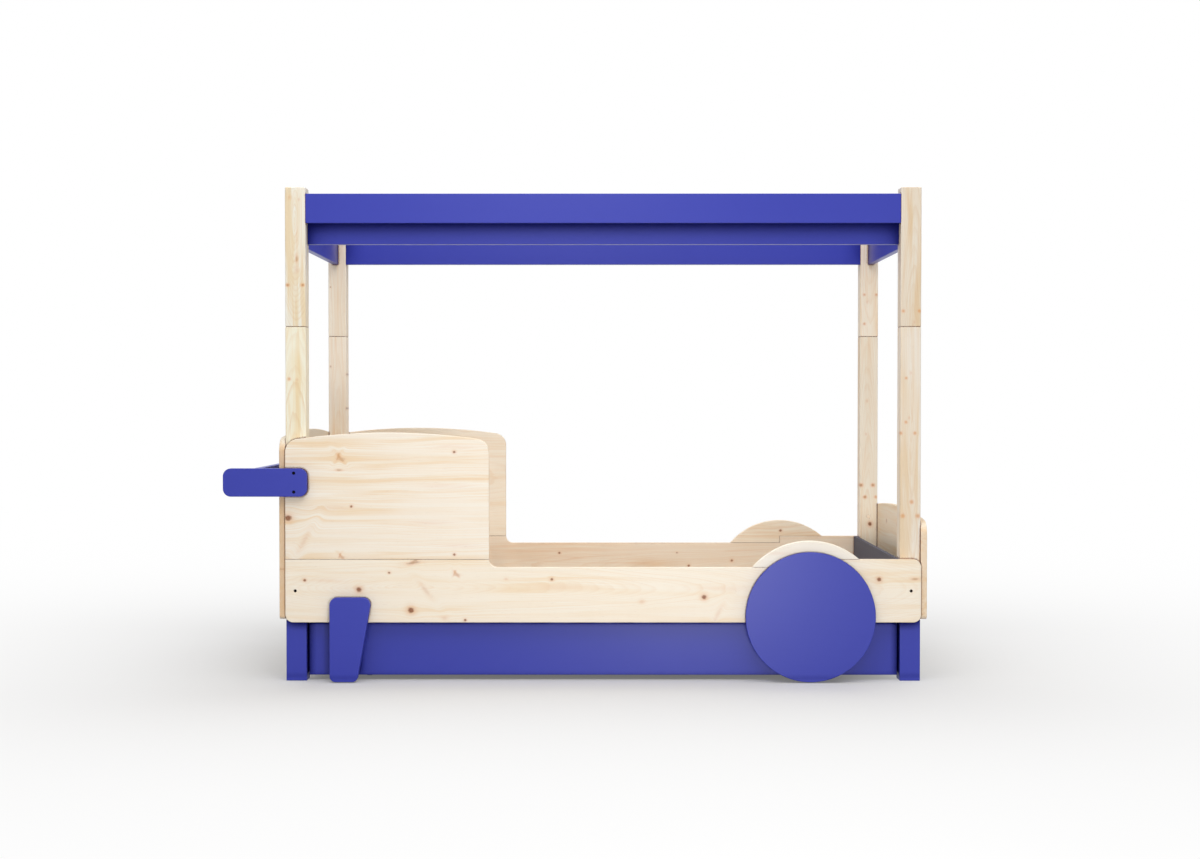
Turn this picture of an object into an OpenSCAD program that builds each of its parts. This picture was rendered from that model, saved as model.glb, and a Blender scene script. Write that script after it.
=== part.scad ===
// Children's truck bed with a roof frame and a trundle drawer on castors.
// The truck's nose points along -X, the drawer opens along -Y, the floor is Z = 0.

/* [Mattress space] */
// Length of the space between the two end boards
inner_l = 1920; // [1500:10:2100]
// Width of the space between the two side rails
inner_w = 920; // [760:10:1200]

/* [Posts] */
// Length of a post's section, along the bed
post_l = 67; // [60:1:90]
// Width of a post's section, across the bed
post_w = 62; // [58:1:90]
// Height of the top of the posts
post_h = 1615; // [1500:5:1900]
// Height of the painted legs under the posts
leg_h = 200; // [196:1:206]
// Height of the seam between the lower and the upper post
seam_z = 1160; // [900:10:1250]
// Radius of the eased edges of posts and legs
post_ease = 3; // [1:0.5:8]

/* [Side boards] */
// Thickness of the wooden side boards
board_t = 20; // [16:1:28]
// Height of the rail's lower edge
rail_z = 194; // [190:1:210]
// Height of the rail board
rail_h = 206; // [190:1:218]
// Depth of the entrance cut in the rail's upper edge
rail_cut = 26; // [15:1:40]
// Radius of the rail's outer corners
rail_r = 25; // [8:1:40]
// How far the side boards stop short of the posts' outer faces
side_set = 1; // [0.5:0.5:5]
// Length of the hood's side board
hood_l = 666; // [450:5:700]
// Height of the hood's side board at its crown
hood_h = 414; // [330:2:500]
// Radius of the hood's crown
hood_crown_r = 2100; // [1500:50:4000]
// Radius of the hood's upper corners
hood_r = 45; // [15:1:80]

/* [Wheels and steps] */
// Radius of the wheel disc
disc_r = 211.5; // [205:0.5:225]
// Distance of the wheel's centre from the rear end of the posts
wheel_back = 364; // [340:2:420]
// Height of the discs and steps over the floor
floor_gap = 2.5; // [1:0.5:8]
// How far the fender's arc lies outside the disc
fender_band = 35; // [20:1:60]
// Distance of the step's straight edge from the front end of the posts
step_set = 149; // [120:1:200]
// Width of the step at its foot
step_foot_w = 89; // [70:1:120]
// Width of the step at its top
step_top_w = 138; // [125:1:180]
// Height of the step's top over the floor
step_h = 278; // [240:2:340]
// Radius of the step's upper corners
step_top_r = 25; // [8:1:35]
// Radius of the step's lower corners
step_foot_r = 19; // [8:1:30]
// Thickness of the painted boards
paint_t = 22; // [16:1:30]
// Running gap between the rail and the disc and step that ride on the drawer
ride_gap = 5; // [3:0.5:12]

/* [End panels] */
// Thickness of the panels outside the posts
panel_t = 20; // [16:1:28]
// How far the panels' side edges lie inside the side boards' outer faces
panel_set = 10; // [3:1:15]
// Height of the panels' lower edge
panel_z = 203; // [200:1:240]
// Height of the front panel at its crown
front_top = 818; // [800:2:900]
// Height of the rear panel at its crown
rear_top = 546; // [530:2:700]
// Radius of the panels' crown
panel_crown_r = 4500; // [3000:100:8000]
// Radius of the panels' upper corners
panel_r = 47; // [15:1:80]
// Radius of the panels' lower corners
panel_foot_r = 12; // [4:1:20]
// Thickness of the dark end boards inside the posts
end_t = 12; // [9:1:20]
// Height of the end boards
end_h = 190; // [160:2:198]

/* [Slats] */
// Height of the top of the slats
slat_top = 270; // [262:1:300]
// Thickness of a slat
slat_t = 18; // [14:1:24]
// Width of a slat
slat_w = 70; // [50:1:90]
// Number of slats
slat_n = 14; // [10:1:16]
// Play between the slat ends and the rails
slat_play = 4; // [2:0.5:10]
// Side of the square ledger under the slats
ledger_s = 30; // [24:1:36]
// Width of the webbing that joins the slats
tape_w = 24; // [15:1:40]
// Thickness of the webbing
tape_t = 1; // [0.6:0.2:2]

/* [Bumper] */
// Length of a bumper arm
arm_l = 273.5; // [255:0.5:320]
// Height of a bumper arm
arm_h = 92; // [84:1:100]
// Height of the bumper's lower edge
arm_z = 606; // [580:2:615]
// Length of the arm that lies over the post
arm_lap = 76.5; // [72:0.5:95]
// Radius of the arm's corners
arm_r = 26; // [8:1:40]
// Gap between the bumper board and the front panel
bumper_gap = 58; // [30:1:75]

/* [Roof frame] */
// Drop from the post tops to the top of the roof boards
roof_drop = 21; // [10:1:40]
// Height of the fascia boards
fascia_h = 96; // [70:2:130]
// Height of the roof beams and end boards
beam_h = 162; // [132:2:200]
// Thickness of the roof beams
beam_t = 24; // [18:1:28]
// Distance of the roof's end boards from the posts' inner faces
roof_end_set = 29; // [15:1:35]

/* [Drawer] */
// Side gap between the drawer front and the legs
drawer_gap = 5; // [3:1:15]
// How far the drawer front lies behind the legs' outer faces
drawer_recess = 20; // [10:1:40]
// How far the drawer's back lies inside the far legs' outer faces
drawer_back_set = 30; // [5:1:120]
// Height of the drawer front's lower edge
drawer_z = 16; // [10:1:30]
// Height of the drawer front
drawer_h = 171; // [150:1:173]
// How far the drawer front overlaps the drawer box at each end
drawer_lip = 7; // [3:1:20]
// How far the spacer blocks lie inside the drawer front's edges
block_set = 7; // [4:1:20]
// Height of the drawer box's lower edge
box_z = 40; // [30:1:46]
// Height of the drawer box's boards
box_h = 140; // [110:1:145]
// Thickness of the drawer box's boards
box_t = 18; // [14:1:22]
// Thickness of the drawer floor
floor_t = 10; // [6:1:14]
// Depth of the groove that holds the floor
groove = 6; // [3:0.5:9]
// Width of the bearers under the floor
bearer_w = 80; // [70:1:110]
// Thickness of the bearers under the floor
bearer_t = 20; // [14:1:26]

/* [Castors] */
// Radius of a castor wheel
caster_r = 20; // [18:0.5:21]
// Width of a castor wheel
caster_w = 18; // [14:1:24]
// Height of a castor from the floor to its plate's top
caster_h = 48; // [46:1:60]
// Thickness of the bracket's sheet
sheet_t = 2; // [1.5:0.5:3]
// Radius of the axle
axle_r = 3; // [2.5:0.5:4]
// Length of the bracket's plate
plate_l = 60; // [50:1:68]
// Distance of a castor from the drawer box's end
caster_in = 180; // [120:5:300]
// Distance of a castor from the drawer box's long sides
caster_side = 90; // [60:5:200]

/* [Fasteners] */
// Radius of a bolt's shank
bolt_r = 3; // [2.5:0.5:4]
// Radius of a bolt's head
bolt_head_r = 4.4; // [4.2:0.1:6]
// Height of a bolt's head
bolt_head_h = 5; // [4:0.5:7]
// Depth of a bolt head below the board's face
bolt_sink = 1.2; // [0.6:0.2:3]
// Width of a bolt's hexagon socket
socket_w = 4; // [3:0.5:5]
// Radius of a barrel nut
nut_r = 5; // [4.5:0.5:7]
// Length of a barrel nut
nut_l = 16; // [12:1:20]
// Radius of a dowel
dowel_r = 4; // [3:0.5:5]
// Length of a dowel
dowel_l = 40; // [24:1:50]
// Radius of the studs that join legs and posts
stud_r = 5; // [4:0.5:8]
// Length of the studs
stud_l = 90; // [60:5:100]
// Clearance of a fastener in its hole
hole_play = 0.2; // [0.1:0.05:0.4]
// Running clearance of a castor wheel on its axle
axle_play = 0.05; // [0.02:0.01:0.1]

/* [Hidden] */

$fn = 64;
crown_fn = 720;   // the crowns are very flat arcs
disc_fn = 180;
over = 1;         // overrun of cuts
near = -1;
far = 1;
front = -1;
rear = 1;

// Colours of the finishes
pine = [0.94, 0.86, 0.74];
blue = [0.20, 0.23, 0.62];
slate = [0.27, 0.27, 0.31];
beech = [0.80, 0.66, 0.47];
zinc = [0.66, 0.67, 0.70];
dark_steel = [0.12, 0.12, 0.13];
grey_tyre = [0.34, 0.35, 0.37];
webbing = [0.90, 0.89, 0.85];

// Places along the bed, from its middle
inner_x = inner_l / 2;
post_in_x = inner_x + end_t;
post_mid_x = post_in_x + post_l / 2;
post_out_x = post_in_x + post_l;
panel_out_x = post_out_x + panel_t;
side_x = post_out_x - side_set;
hood_end_x = -side_x + hood_l;
wheel_x = post_out_x - wheel_back;
arm_rear_x = -post_out_x + arm_lap;
arm_front_x = arm_rear_x - arm_l;
bumper_x = -panel_out_x - bumper_gap;

// Places across the bed, from its middle
post_out_y = inner_w / 2;
post_in_y = post_out_y - post_w;
post_mid_y = post_out_y - post_w / 2;
side_y = post_out_y + board_t;
panel_y = side_y - panel_set;
ride_y = side_y + ride_gap;
drawer_y = post_out_y - drawer_recess;
drawer_back_y = post_out_y - drawer_back_set;

// Heights
rail_top = rail_z + rail_h;
seat_z = rail_top - rail_cut;
wheel_z = disc_r + floor_gap;
fender_r = disc_r + fender_band;
roof_z = post_h - roof_drop;
ledger_z = slat_top - slat_t - ledger_s;
bearer_z = caster_h;
drawer_floor_z = bearer_z + bearer_t;

// The model stands on the middle of the floor rectangle that it covers
origin_x = -(arm_front_x + panel_out_x) / 2;
origin_y = (ride_y - side_y) / 2;

// Fasteners
head_floor = bolt_head_h + bolt_sink;
socket_d = bolt_head_h / 2;
stud_deep = stud_l / 2 + hole_play;
rail_bolt_z = rail_z + rail_h / 2;
arm_bolt_shares = [1 / 6, 5 / 6];
arm_bolt_zs = [for (share = arm_bolt_shares) arm_z + arm_h * share];
low_panel_bolt_z = panel_z + post_w;
front_bolt_zs = [low_panel_bolt_z, front_top - post_l];
rear_bolt_zs = [low_panel_bolt_z, rear_top - post_l];
hood_dowel_shares = [0.2, 0.5, 0.8];
fender_dowel_xs = [wheel_x - fender_r / 3, wheel_x + fender_r / 3];
edge_dowel_shares = [0.25, 0.75];
arm_dowel_in = paint_t * 3 / 5;

// Drawer box
front_half = post_in_x - drawer_gap;
box_half = front_half - drawer_lip;
box_front_y = -drawer_y + paint_t;
caster_x = box_half - caster_in;
caster_near_y = -drawer_y + caster_side;
caster_far_y = drawer_back_y - caster_side;
caster_ys = [caster_near_y, caster_far_y];
bearer_xs = [-caster_x, 0, caster_x];
fork_in = caster_w / 2 + sheet_t / 2;
fork_out = fork_in + sheet_t;
ear_r = axle_r + sheet_t * 2;
tread_r = caster_w / 6;
hub_r = axle_r * 2.5;
hub_w = sheet_t / 4;
rivet_r = axle_r * 1.5;
rivet_t = sheet_t * 3 / 4;

// Spacer blocks between the drawer front and what rides on it
disc_block_w = disc_r * 0.8;
block_top = drawer_z + drawer_h - block_set;
disc_block_z = wheel_z - disc_r * 0.8;
step_block_in = step_foot_r / 2;
step_block_z = drawer_z + block_set;

function corner_c(half, top, crown, r) =
    [half - r, top - crown + sqrt((crown - r) * (crown - r) - (half - r) * (half - r))];

// Everything is drawn from the bed's middle and set on the model's origin
module placed() translate([origin_x, origin_y, 0]) children();

// Outline in the XZ plane, extruded from y0 away from the bed's middle
module upright(side, y0, t) {
    y_start = side > 0 ? y0 : -y0 - t;
    translate([0, y_start + t, 0]) rotate([90, 0, 0]) linear_extrude(t) children();
}

// Outline in the YZ plane, extruded from x0 by t along +X
module crosswise(x0, t) {
    translate([x0, 0, 0]) rotate([90, 0, 90]) linear_extrude(t) children();
}

// Rectangle with rounded corners: lower front, lower rear, upper front, upper rear
module round_rect(x1, z1, x2, z2, radii) {
    corners = [[-1, -1], [1, -1], [-1, 1], [1, 1]];
    difference() {
        translate([x1, z1]) square([x2 - x1, z2 - z1]);
        for (i = [0 : 3]) if (radii[i] > 0) {
            r = radii[i];
            d = corners[i];
            corner_cut([d[0] > 0 ? x2 - r : x1 + r, d[1] > 0 ? z2 - r : z1 + r], r, d);
        }
    }
}

function all_four(r) = [r, r, r, r];

// What a corner of radius r about centre c loses, towards direction d
module corner_cut(c, r, d) {
    difference() {
        translate([d[0] > 0 ? c[0] : c[0] - r - over, d[1] > 0 ? c[1] : c[1] - r - over])
            square([r + over, r + over]);
        translate(c) circle(r);
    }
}

// Board outline with a crowned top whose corners run smoothly into the crown
module crowned(half, low, top, crown, r, foot_r) {
    c = corner_c(half, top, crown, r);
    tilt = atan2(c[1] - (top - crown), c[0]);
    reach = r * 3;
    difference() {
        intersection() {
            translate([-half, low]) square([half * 2, top - low]);
            translate([0, top - crown]) circle(crown, $fn = crown_fn);
        }
        for (s = [-1, 1]) {
            difference() {
                polygon([
                    [s * c[0], c[1]],
                    [s * (c[0] + reach), c[1]],
                    [s * (c[0] + reach), c[1] + reach],
                    [s * (c[0] + reach * cos(tilt)), c[1] + reach * sin(tilt)]
                ]);
                translate([s * c[0], c[1]]) circle(r);
            }
            if (foot_r > 0)
                corner_cut([s * (half - foot_r), low + foot_r], foot_r, [s, -1]);
        }
    }
}

// Holes along Y, from the outside of one side of the bed inwards
module hole_y(side, x, z, r, y_out, deep) {
    y_start = side > 0 ? y_out - deep : -y_out - over;
    translate([x, y_start, z]) rotate([-90, 0, 0]) cylinder(r = r, h = deep + over);
}

// Holes along X, from the outside of one end of the bed inwards
module hole_x(end, y, z, r, x_out, deep) {
    x_start = end > 0 ? x_out - deep : -x_out - over;
    translate([x_start, y, z]) rotate([0, 90, 0]) cylinder(r = r, h = deep + over);
}

// Socket bolt from its head's face at the origin, along +Z
module bolt(shank) {
    difference() {
        union() {
            cylinder(r = bolt_head_r, h = bolt_head_h);
            cylinder(r = bolt_r, h = bolt_head_h + shank);
        }
        translate([0, 0, -over]) cylinder(d = socket_w / cos(30), h = socket_d + over, $fn = 6);
    }
}

// Posts: a leg, a lower post and an upper post at each corner
module post_section() {
    round_rect(-post_l / 2, -post_w / 2, post_l / 2, post_w / 2, all_four(post_ease));
}

module post_at(end, side) {
    translate([end * post_mid_x, side * post_mid_y, 0]) children();
}

module stud_hole(z) {
    translate([0, 0, z - stud_deep]) cylinder(r = stud_r + hole_play, h = stud_deep * 2);
}

module leg(end, side) {
    color(blue) placed() post_at(end, side) difference() {
        linear_extrude(leg_h) post_section();
        stud_hole(leg_h);
    }
}

module post(end, side) {
    low_bolts = end == front ? front_bolt_zs : rear_bolt_zs;
    side_bolts = end == front ? concat([rail_bolt_z], arm_bolt_zs) : [rail_bolt_z];
    color(pine) placed() difference() {
        post_at(end, side) translate([0, 0, leg_h]) linear_extrude(seam_z - leg_h) post_section();
        post_at(end, side) stud_hole(leg_h);
        post_at(end, side) stud_hole(seam_z);
        for (z = side_bolts) {
            hole_y(side, end * post_mid_x, z, bolt_r + hole_play, post_out_y, post_w * 0.8);
            translate([end * post_mid_x, side * post_mid_y, z]) nut_bore_x(end);
        }
        for (z = low_bolts) {
            hole_x(end, side * post_mid_y, z, bolt_r + hole_play, post_out_x, post_l * 0.8);
            translate([end * post_mid_x, side * post_mid_y, z]) nut_bore_y(side);
        }
    }
}

module post_top(end, side) {
    color(pine) placed() difference() {
        post_at(end, side) translate([0, 0, seam_z]) linear_extrude(post_h - seam_z) post_section();
        post_at(end, side) stud_hole(seam_z);
        roof_board_dowels(hole_play);
    }
}

module post_studs() {
    color(zinc) placed() for (end = [front, rear], side = [near, far], z = [leg_h, seam_z])
        post_at(end, side) translate([0, 0, z - stud_l / 2]) cylinder(r = stud_r, h = stud_l);
}

// Barrel nuts lie square to their bolts, pushed in from the posts' inner faces
module nut_bore_x(end) {
    bore_l = post_l / 2 + nut_l / 2;
    translate([end > 0 ? -post_l / 2 - over : -nut_l / 2, 0, 0])
        rotate([0, 90, 0]) cylinder(r = nut_r + hole_play, h = bore_l + over);
}

module nut_bore_y(side) {
    bore_l = post_w / 2 + nut_l / 2;
    translate([0, side > 0 ? -post_w / 2 - over : -nut_l / 2, 0])
        rotate([-90, 0, 0]) cylinder(r = nut_r + hole_play, h = bore_l + over);
}

module nut_along_x() {
    difference() {
        translate([-nut_l / 2, 0, 0]) rotate([0, 90, 0]) cylinder(r = nut_r, h = nut_l);
        translate([0, -nut_r - over, 0]) rotate([-90, 0, 0])
            cylinder(r = bolt_r + hole_play, h = (nut_r + over) * 2);
    }
}

module barrel_nuts() {
    color(zinc) placed() for (side = [near, far]) {
        for (end = [front, rear])
            translate([end * post_mid_x, side * post_mid_y, rail_bolt_z]) nut_along_x();
        for (z = arm_bolt_zs)
            translate([-post_mid_x, side * post_mid_y, z]) nut_along_x();
        for (z = front_bolt_zs)
            translate([-post_mid_x, side * post_mid_y, z]) rotate([0, 0, 90]) nut_along_x();
        for (z = rear_bolt_zs)
            translate([post_mid_x, side * post_mid_y, z]) rotate([0, 0, 90]) nut_along_x();
    }
}

// Bolts: heads are sunk in the boards, shanks end in the barrel nuts
module bolt_into_side(side, x, z, y_face) {
    shank = y_face - head_floor - post_mid_y + nut_r;
    translate([x, side * (y_face - bolt_sink), z]) rotate([side * 90, 0, 0]) bolt(shank);
}

module bolt_into_end(end, y, z) {
    shank = panel_out_x - head_floor - post_mid_x + nut_r;
    translate([end * (panel_out_x - bolt_sink), y, z]) rotate([0, -end * 90, 0]) bolt(shank);
}

module frame_bolts() {
    color(dark_steel) placed() for (side = [near, far]) {
        for (end = [front, rear]) bolt_into_side(side, end * post_mid_x, rail_bolt_z, side_y);
        for (z = front_bolt_zs) bolt_into_end(front, side * post_mid_y, z);
        for (z = rear_bolt_zs) bolt_into_end(rear, side * post_mid_y, z);
    }
}

module arm_bolts() {
    color(dark_steel) placed() for (side = [near, far], z = arm_bolt_zs)
        bolt_into_side(side, -post_mid_x, z, side_y + paint_t);
}

module sunk_hole_y(side, x, z, y_face) {
    hole_y(side, x, z, bolt_r + hole_play, y_face, board_t + paint_t + over);
    hole_y(side, x, z, bolt_head_r + hole_play, y_face, head_floor);
}

// Side rail: round corners, but square under the hood, and a long entrance cut that
// starts with a round at the hood and ends square under the fender
module side_rail(side) {
    color(pine) placed() difference() {
        upright(side, post_out_y, board_t) difference() {
            round_rect(-side_x, rail_z, side_x, rail_top, [rail_r, rail_r, 0, rail_r]);
            translate([hood_end_x + rail_cut, seat_z])
                square([wheel_x - hood_end_x - rail_cut, rail_cut + over]);
            translate([hood_end_x + rail_cut, rail_top]) circle(rail_cut);
        }
        for (end = [front, rear]) sunk_hole_y(side, end * post_mid_x, rail_bolt_z, side_y);
        side_dowels(side, hole_play);
    }
}

module hood_side(side) {
    mid_x = (hood_end_x - side_x) / 2;
    color(pine) placed() difference() {
        upright(side, post_out_y, board_t) translate([mid_x, 0])
            crowned(hood_l / 2, rail_top, rail_top + hood_h, hood_crown_r, hood_r, 0);
        for (z = arm_bolt_zs)
            hole_y(side, -post_mid_x, z, bolt_r + hole_play, side_y, board_t + over);
        side_dowels(side, hole_play);
    }
}

// Fender: an arc over the wheel, on a seat that steps up at the wheel's centre
module fender(side) {
    color(pine) placed() difference() {
        upright(side, post_out_y, board_t) intersection() {
            translate([wheel_x, wheel_z]) circle(fender_r, $fn = disc_fn);
            polygon([
                [wheel_x - fender_r, seat_z], [wheel_x, seat_z],
                [wheel_x, rail_top], [wheel_x + fender_r, rail_top],
                [wheel_x + fender_r, wheel_z + fender_r + over],
                [wheel_x - fender_r, wheel_z + fender_r + over]
            ]);
        }
        side_dowels(side, hole_play);
    }
}

// Upright dowels between the rail and the boards that stand on it
module side_dowels(side, play) {
    y = side * (post_out_y + board_t / 2);
    for (share = hood_dowel_shares)
        dowel_up(-side_x + hood_l * share, y, rail_top, play);
    dowel_up(fender_dowel_xs[0], y, seat_z, play);
    dowel_up(fender_dowel_xs[1], y, rail_top, play);
}

module dowel_up(x, y, z, play) {
    half = dowel_l / 2 + play;
    translate([x, y, z - half]) cylinder(r = dowel_r + play, h = half * 2);
}

// Dowels from the bumper board's ends into the arms
module bumper_dowels(play) {
    tip_y = side_y + arm_dowel_in + play;
    for (side = [near, far], share = edge_dowel_shares)
        translate([bumper_x - paint_t / 2, side * tip_y, arm_z + arm_h * share])
            rotate([side * 90, 0, 0]) cylinder(r = dowel_r + play, h = dowel_l + play * 2);
}

module board_dowels() {
    color(beech) placed() {
        for (side = [near, far]) side_dowels(side, 0);
        bumper_dowels(0);
    }
}

// End panels outside the posts, and dark end boards inside them
module end_panel(end, top, bolt_zs) {
    color(pine) placed() difference() {
        crosswise(end > 0 ? post_out_x : -panel_out_x, panel_t)
            crowned(panel_y, panel_z, top, panel_crown_r, panel_r, panel_foot_r);
        for (side = [near, far], z = bolt_zs) {
            hole_x(end, side * post_mid_y, z, bolt_r + hole_play, panel_out_x, panel_t + over);
            hole_x(end, side * post_mid_y, z, bolt_head_r + hole_play, panel_out_x, head_floor);
        }
    }
}

module end_board(end) {
    color(slate) placed() translate([end > 0 ? inner_x : -post_in_x, -post_out_y, rail_top - end_h])
        cube([end_t, inner_w, end_h]);
}

// Slatted base: ledgers on the rails, loose slats joined by webbing under them
module slat_ledger(side) {
    color(pine) placed() translate([-inner_x, side > 0 ? post_out_y - ledger_s : -post_out_y, ledger_z])
        cube([inner_l, ledger_s, ledger_s]);
}

module bed_slats() {
    slat_l = inner_w - slat_play * 2;
    pitch = (inner_l - slat_w * 1.5) / (slat_n - 1);
    color(pine) placed() for (i = [0 : slat_n - 1])
        translate([-inner_x + slat_w / 4 + pitch * i, -slat_l / 2, slat_top - slat_t])
            cube([slat_w, slat_l, slat_t]);
}

module slat_tapes() {
    tape_l = inner_l - slat_w / 2;
    color(webbing) placed() for (side = [near, far])
        translate([-tape_l / 2, side * inner_w / 3 - tape_w / 2, slat_top - slat_t - tape_t])
            cube([tape_l, tape_w, tape_t]);
}

// Roof frame: fascia boards outside, beams inside, boards across the ends
module roof_beam(side) {
    color(blue) placed() difference() {
        translate([-post_in_x, side > 0 ? post_in_y : -post_in_y - beam_t, roof_z - beam_h])
            cube([post_in_x * 2, beam_t, beam_h]);
        roof_board_dowels(hole_play);
    }
}

module roof_fascia(side) {
    color(blue) placed() difference() {
        translate([-post_in_x, side > 0 ? post_out_y - paint_t : -post_out_y, roof_z - fascia_h])
            cube([post_in_x * 2, paint_t, fascia_h]);
        roof_board_dowels(hole_play);
    }
}

module roof_end(end) {
    x_in = post_in_x + roof_end_set;
    color(blue) placed() difference() {
        translate([end > 0 ? x_in : -x_in - paint_t, -post_in_y, roof_z - beam_h])
            cube([paint_t, post_in_y * 2, beam_h]);
        roof_board_dowels(hole_play);
    }
}

module roof_board_dowels(play) {
    half = dowel_l / 2 + play;
    end_mid_x = post_in_x + roof_end_set + paint_t / 2;
    for (end = [front, rear], side = [near, far], share = edge_dowel_shares) {
        translate([end * post_in_x - half, side * (post_in_y + beam_t / 2), roof_z - beam_h * share])
            rotate([0, 90, 0]) cylinder(r = dowel_r + play, h = half * 2);
        translate([end * post_in_x - half, side * (post_out_y - paint_t / 2),
            roof_z - fascia_h * share])
            rotate([0, 90, 0]) cylinder(r = dowel_r + play, h = half * 2);
        translate([end * end_mid_x, side * post_in_y - half, roof_z - beam_h * share])
            rotate([-90, 0, 0]) cylinder(r = dowel_r + play, h = half * 2);
    }
}

module roof_dowels() {
    color(beech) placed() roof_board_dowels(0);
}

// Bumper: two arms on the hood's side boards and a board between them
module bumper_arm(side) {
    color(blue) placed() difference() {
        upright(side, side_y, paint_t)
            round_rect(arm_front_x, arm_z, arm_rear_x, arm_z + arm_h, all_four(arm_r));
        for (z = arm_bolt_zs) sunk_hole_y(side, -post_mid_x, z, side_y + paint_t);
        bumper_dowels(hole_play);
    }
}

module bumper_board() {
    color(blue) placed() difference() {
        translate([bumper_x - paint_t, -side_y, arm_z]) cube([paint_t, side_y * 2, arm_h]);
        bumper_dowels(hole_play);
    }
}

// Wheel discs and steps: the near ones ride on the drawer, the far ones are on the rail
module wheel_disc(side, y0) {
    color(blue) placed() upright(side, y0, paint_t)
        translate([wheel_x, wheel_z]) circle(disc_r, $fn = disc_fn);
}

// Step: one upright edge, one edge that leans out to the top, round corners
module step_board(side, y0) {
    x1 = -post_out_x + step_set;
    lean = atan2(step_top_w - step_foot_w, step_h - floor_gap);
    color(blue) placed() upright(side, y0, paint_t) difference() {
        polygon([
            [x1, floor_gap], [x1 + step_foot_w, floor_gap],
            [x1 + step_top_w, step_h], [x1, step_h]
        ]);
        corner_cut([x1 + step_foot_r, floor_gap + step_foot_r], step_foot_r, [-1, -1]);
        corner_cut([x1 + step_top_r, step_h - step_top_r], step_top_r, [-1, 1]);
        lean_cut([x1 + step_foot_w, floor_gap], step_foot_r, 270, 360 - lean);
        lean_cut([x1 + step_top_w, step_h], step_top_r, -lean, 90);
    }
}

// Rounds the corner at p: a0 and a1 are the outward directions of its two edges
module lean_cut(p, r, a0, a1) {
    half = (a1 - a0) / 2;
    mid = (a0 + a1) / 2;
    c = p - r / cos(half) * [cos(mid), sin(mid)];
    reach = r / cos(half) + over;
    difference() {
        polygon([
            c,
            c + reach * [cos(a0), sin(a0)],
            c + reach * 2 * [cos(mid), sin(mid)],
            c + reach * [cos(a1), sin(a1)]
        ]);
        translate(c) circle(r);
    }
}

module disc_spacer() {
    color(blue) placed() translate([wheel_x - disc_block_w / 2, -ride_y, disc_block_z])
        cube([disc_block_w, ride_y - drawer_y, block_top - disc_block_z]);
}

module step_spacer() {
    x1 = -post_out_x + step_set + step_block_in;
    color(blue) placed() translate([x1, -ride_y, step_block_z])
        cube([step_foot_w - step_block_in * 2, ride_y - drawer_y, block_top - step_block_z]);
}

// Drawer: a painted front on a grooved box, its floor on three bearers
module floor_groove() {
    play = hole_play;
    translate([-box_half + box_t - groove - play, box_front_y - groove - play, drawer_floor_z])
        cube([(box_half - box_t + groove + play) * 2,
            drawer_back_y - box_t - box_front_y + (groove + play) * 2, floor_t + play]);
}

module drawer_front() {
    color(blue) placed() difference() {
        translate([-front_half, -drawer_y, drawer_z]) cube([front_half * 2, paint_t, drawer_h]);
        floor_groove();
    }
}

module drawer_back() {
    color(pine) placed() difference() {
        translate([-box_half, drawer_back_y - box_t, box_z]) cube([box_half * 2, box_t, box_h]);
        floor_groove();
    }
}

module drawer_side(end) {
    color(pine) placed() difference() {
        translate([end > 0 ? box_half - box_t : -box_half, box_front_y, box_z])
            cube([box_t, drawer_back_y - box_t - box_front_y, box_h]);
        floor_groove();
    }
}

module drawer_floor() {
    color(pine) placed() translate([-box_half + box_t - groove, box_front_y - groove, drawer_floor_z])
        cube([(box_half - box_t + groove) * 2,
            drawer_back_y - box_t - box_front_y + groove * 2, floor_t]);
}

module drawer_bearers() {
    color(pine) placed() for (x = bearer_xs)
        translate([x - bearer_w / 2, box_front_y, bearer_z])
            cube([bearer_w, drawer_back_y - box_t - box_front_y, bearer_t]);
}

// Castors: a pressed fork, a riveted axle and a tyred wheel that turns on it
module at_casters() {
    for (end = [front, rear], y = caster_ys) translate([end * caster_x, y, caster_r]) children();
}

module fork_ear() {
    top = caster_h - caster_r - sheet_t / 2;
    rotate([90, 0, 90]) linear_extrude(sheet_t) difference() {
        union() {
            circle(ear_r);
            polygon([
                [-ear_r, 0], [ear_r, 0], [plate_l / 3, top * 2 / 3], [plate_l / 3, top],
                [-plate_l / 3, top], [-plate_l / 3, top * 2 / 3]
            ]);
        }
        circle(axle_r + axle_play);
    }
}

module caster_brackets() {
    color(zinc) placed() at_casters() {
        translate([-plate_l / 2, -plate_l * 2 / 5, caster_h - caster_r - sheet_t])
            cube([plate_l, plate_l * 4 / 5, sheet_t]);
        translate([fork_in, 0, 0]) fork_ear();
        translate([-fork_out, 0, 0]) fork_ear();
    }
}

module caster_axles() {
    color(zinc) placed() at_casters() {
        translate([-fork_out, 0, 0]) rotate([0, 90, 0]) cylinder(r = axle_r, h = fork_out * 2);
        translate([-fork_out - rivet_t, 0, 0]) rotate([0, 90, 0]) cylinder(r = rivet_r, h = rivet_t);
        translate([fork_out, 0, 0]) rotate([0, 90, 0]) cylinder(r = rivet_r, h = rivet_t);
    }
}

module caster_wheel(end, y) {
    half = caster_w / 2;
    color(grey_tyre) placed() translate([end * caster_x, y, caster_r]) rotate([0, 90, 0])
        rotate_extrude() difference() {
            union() {
                translate([0, -half]) square([caster_r - tread_r, half * 2]);
                translate([0, -half + tread_r]) square([caster_r, (half - tread_r) * 2]);
                for (s = [-1, 1])
                    translate([caster_r - tread_r, s * (half - tread_r)]) circle(tread_r);
                translate([0, -half - hub_w]) square([hub_r, (half + hub_w) * 2]);
            }
            translate([-caster_r, -caster_w]) square([caster_r + axle_r + axle_play, caster_w * 2]);
        }
}

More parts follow.
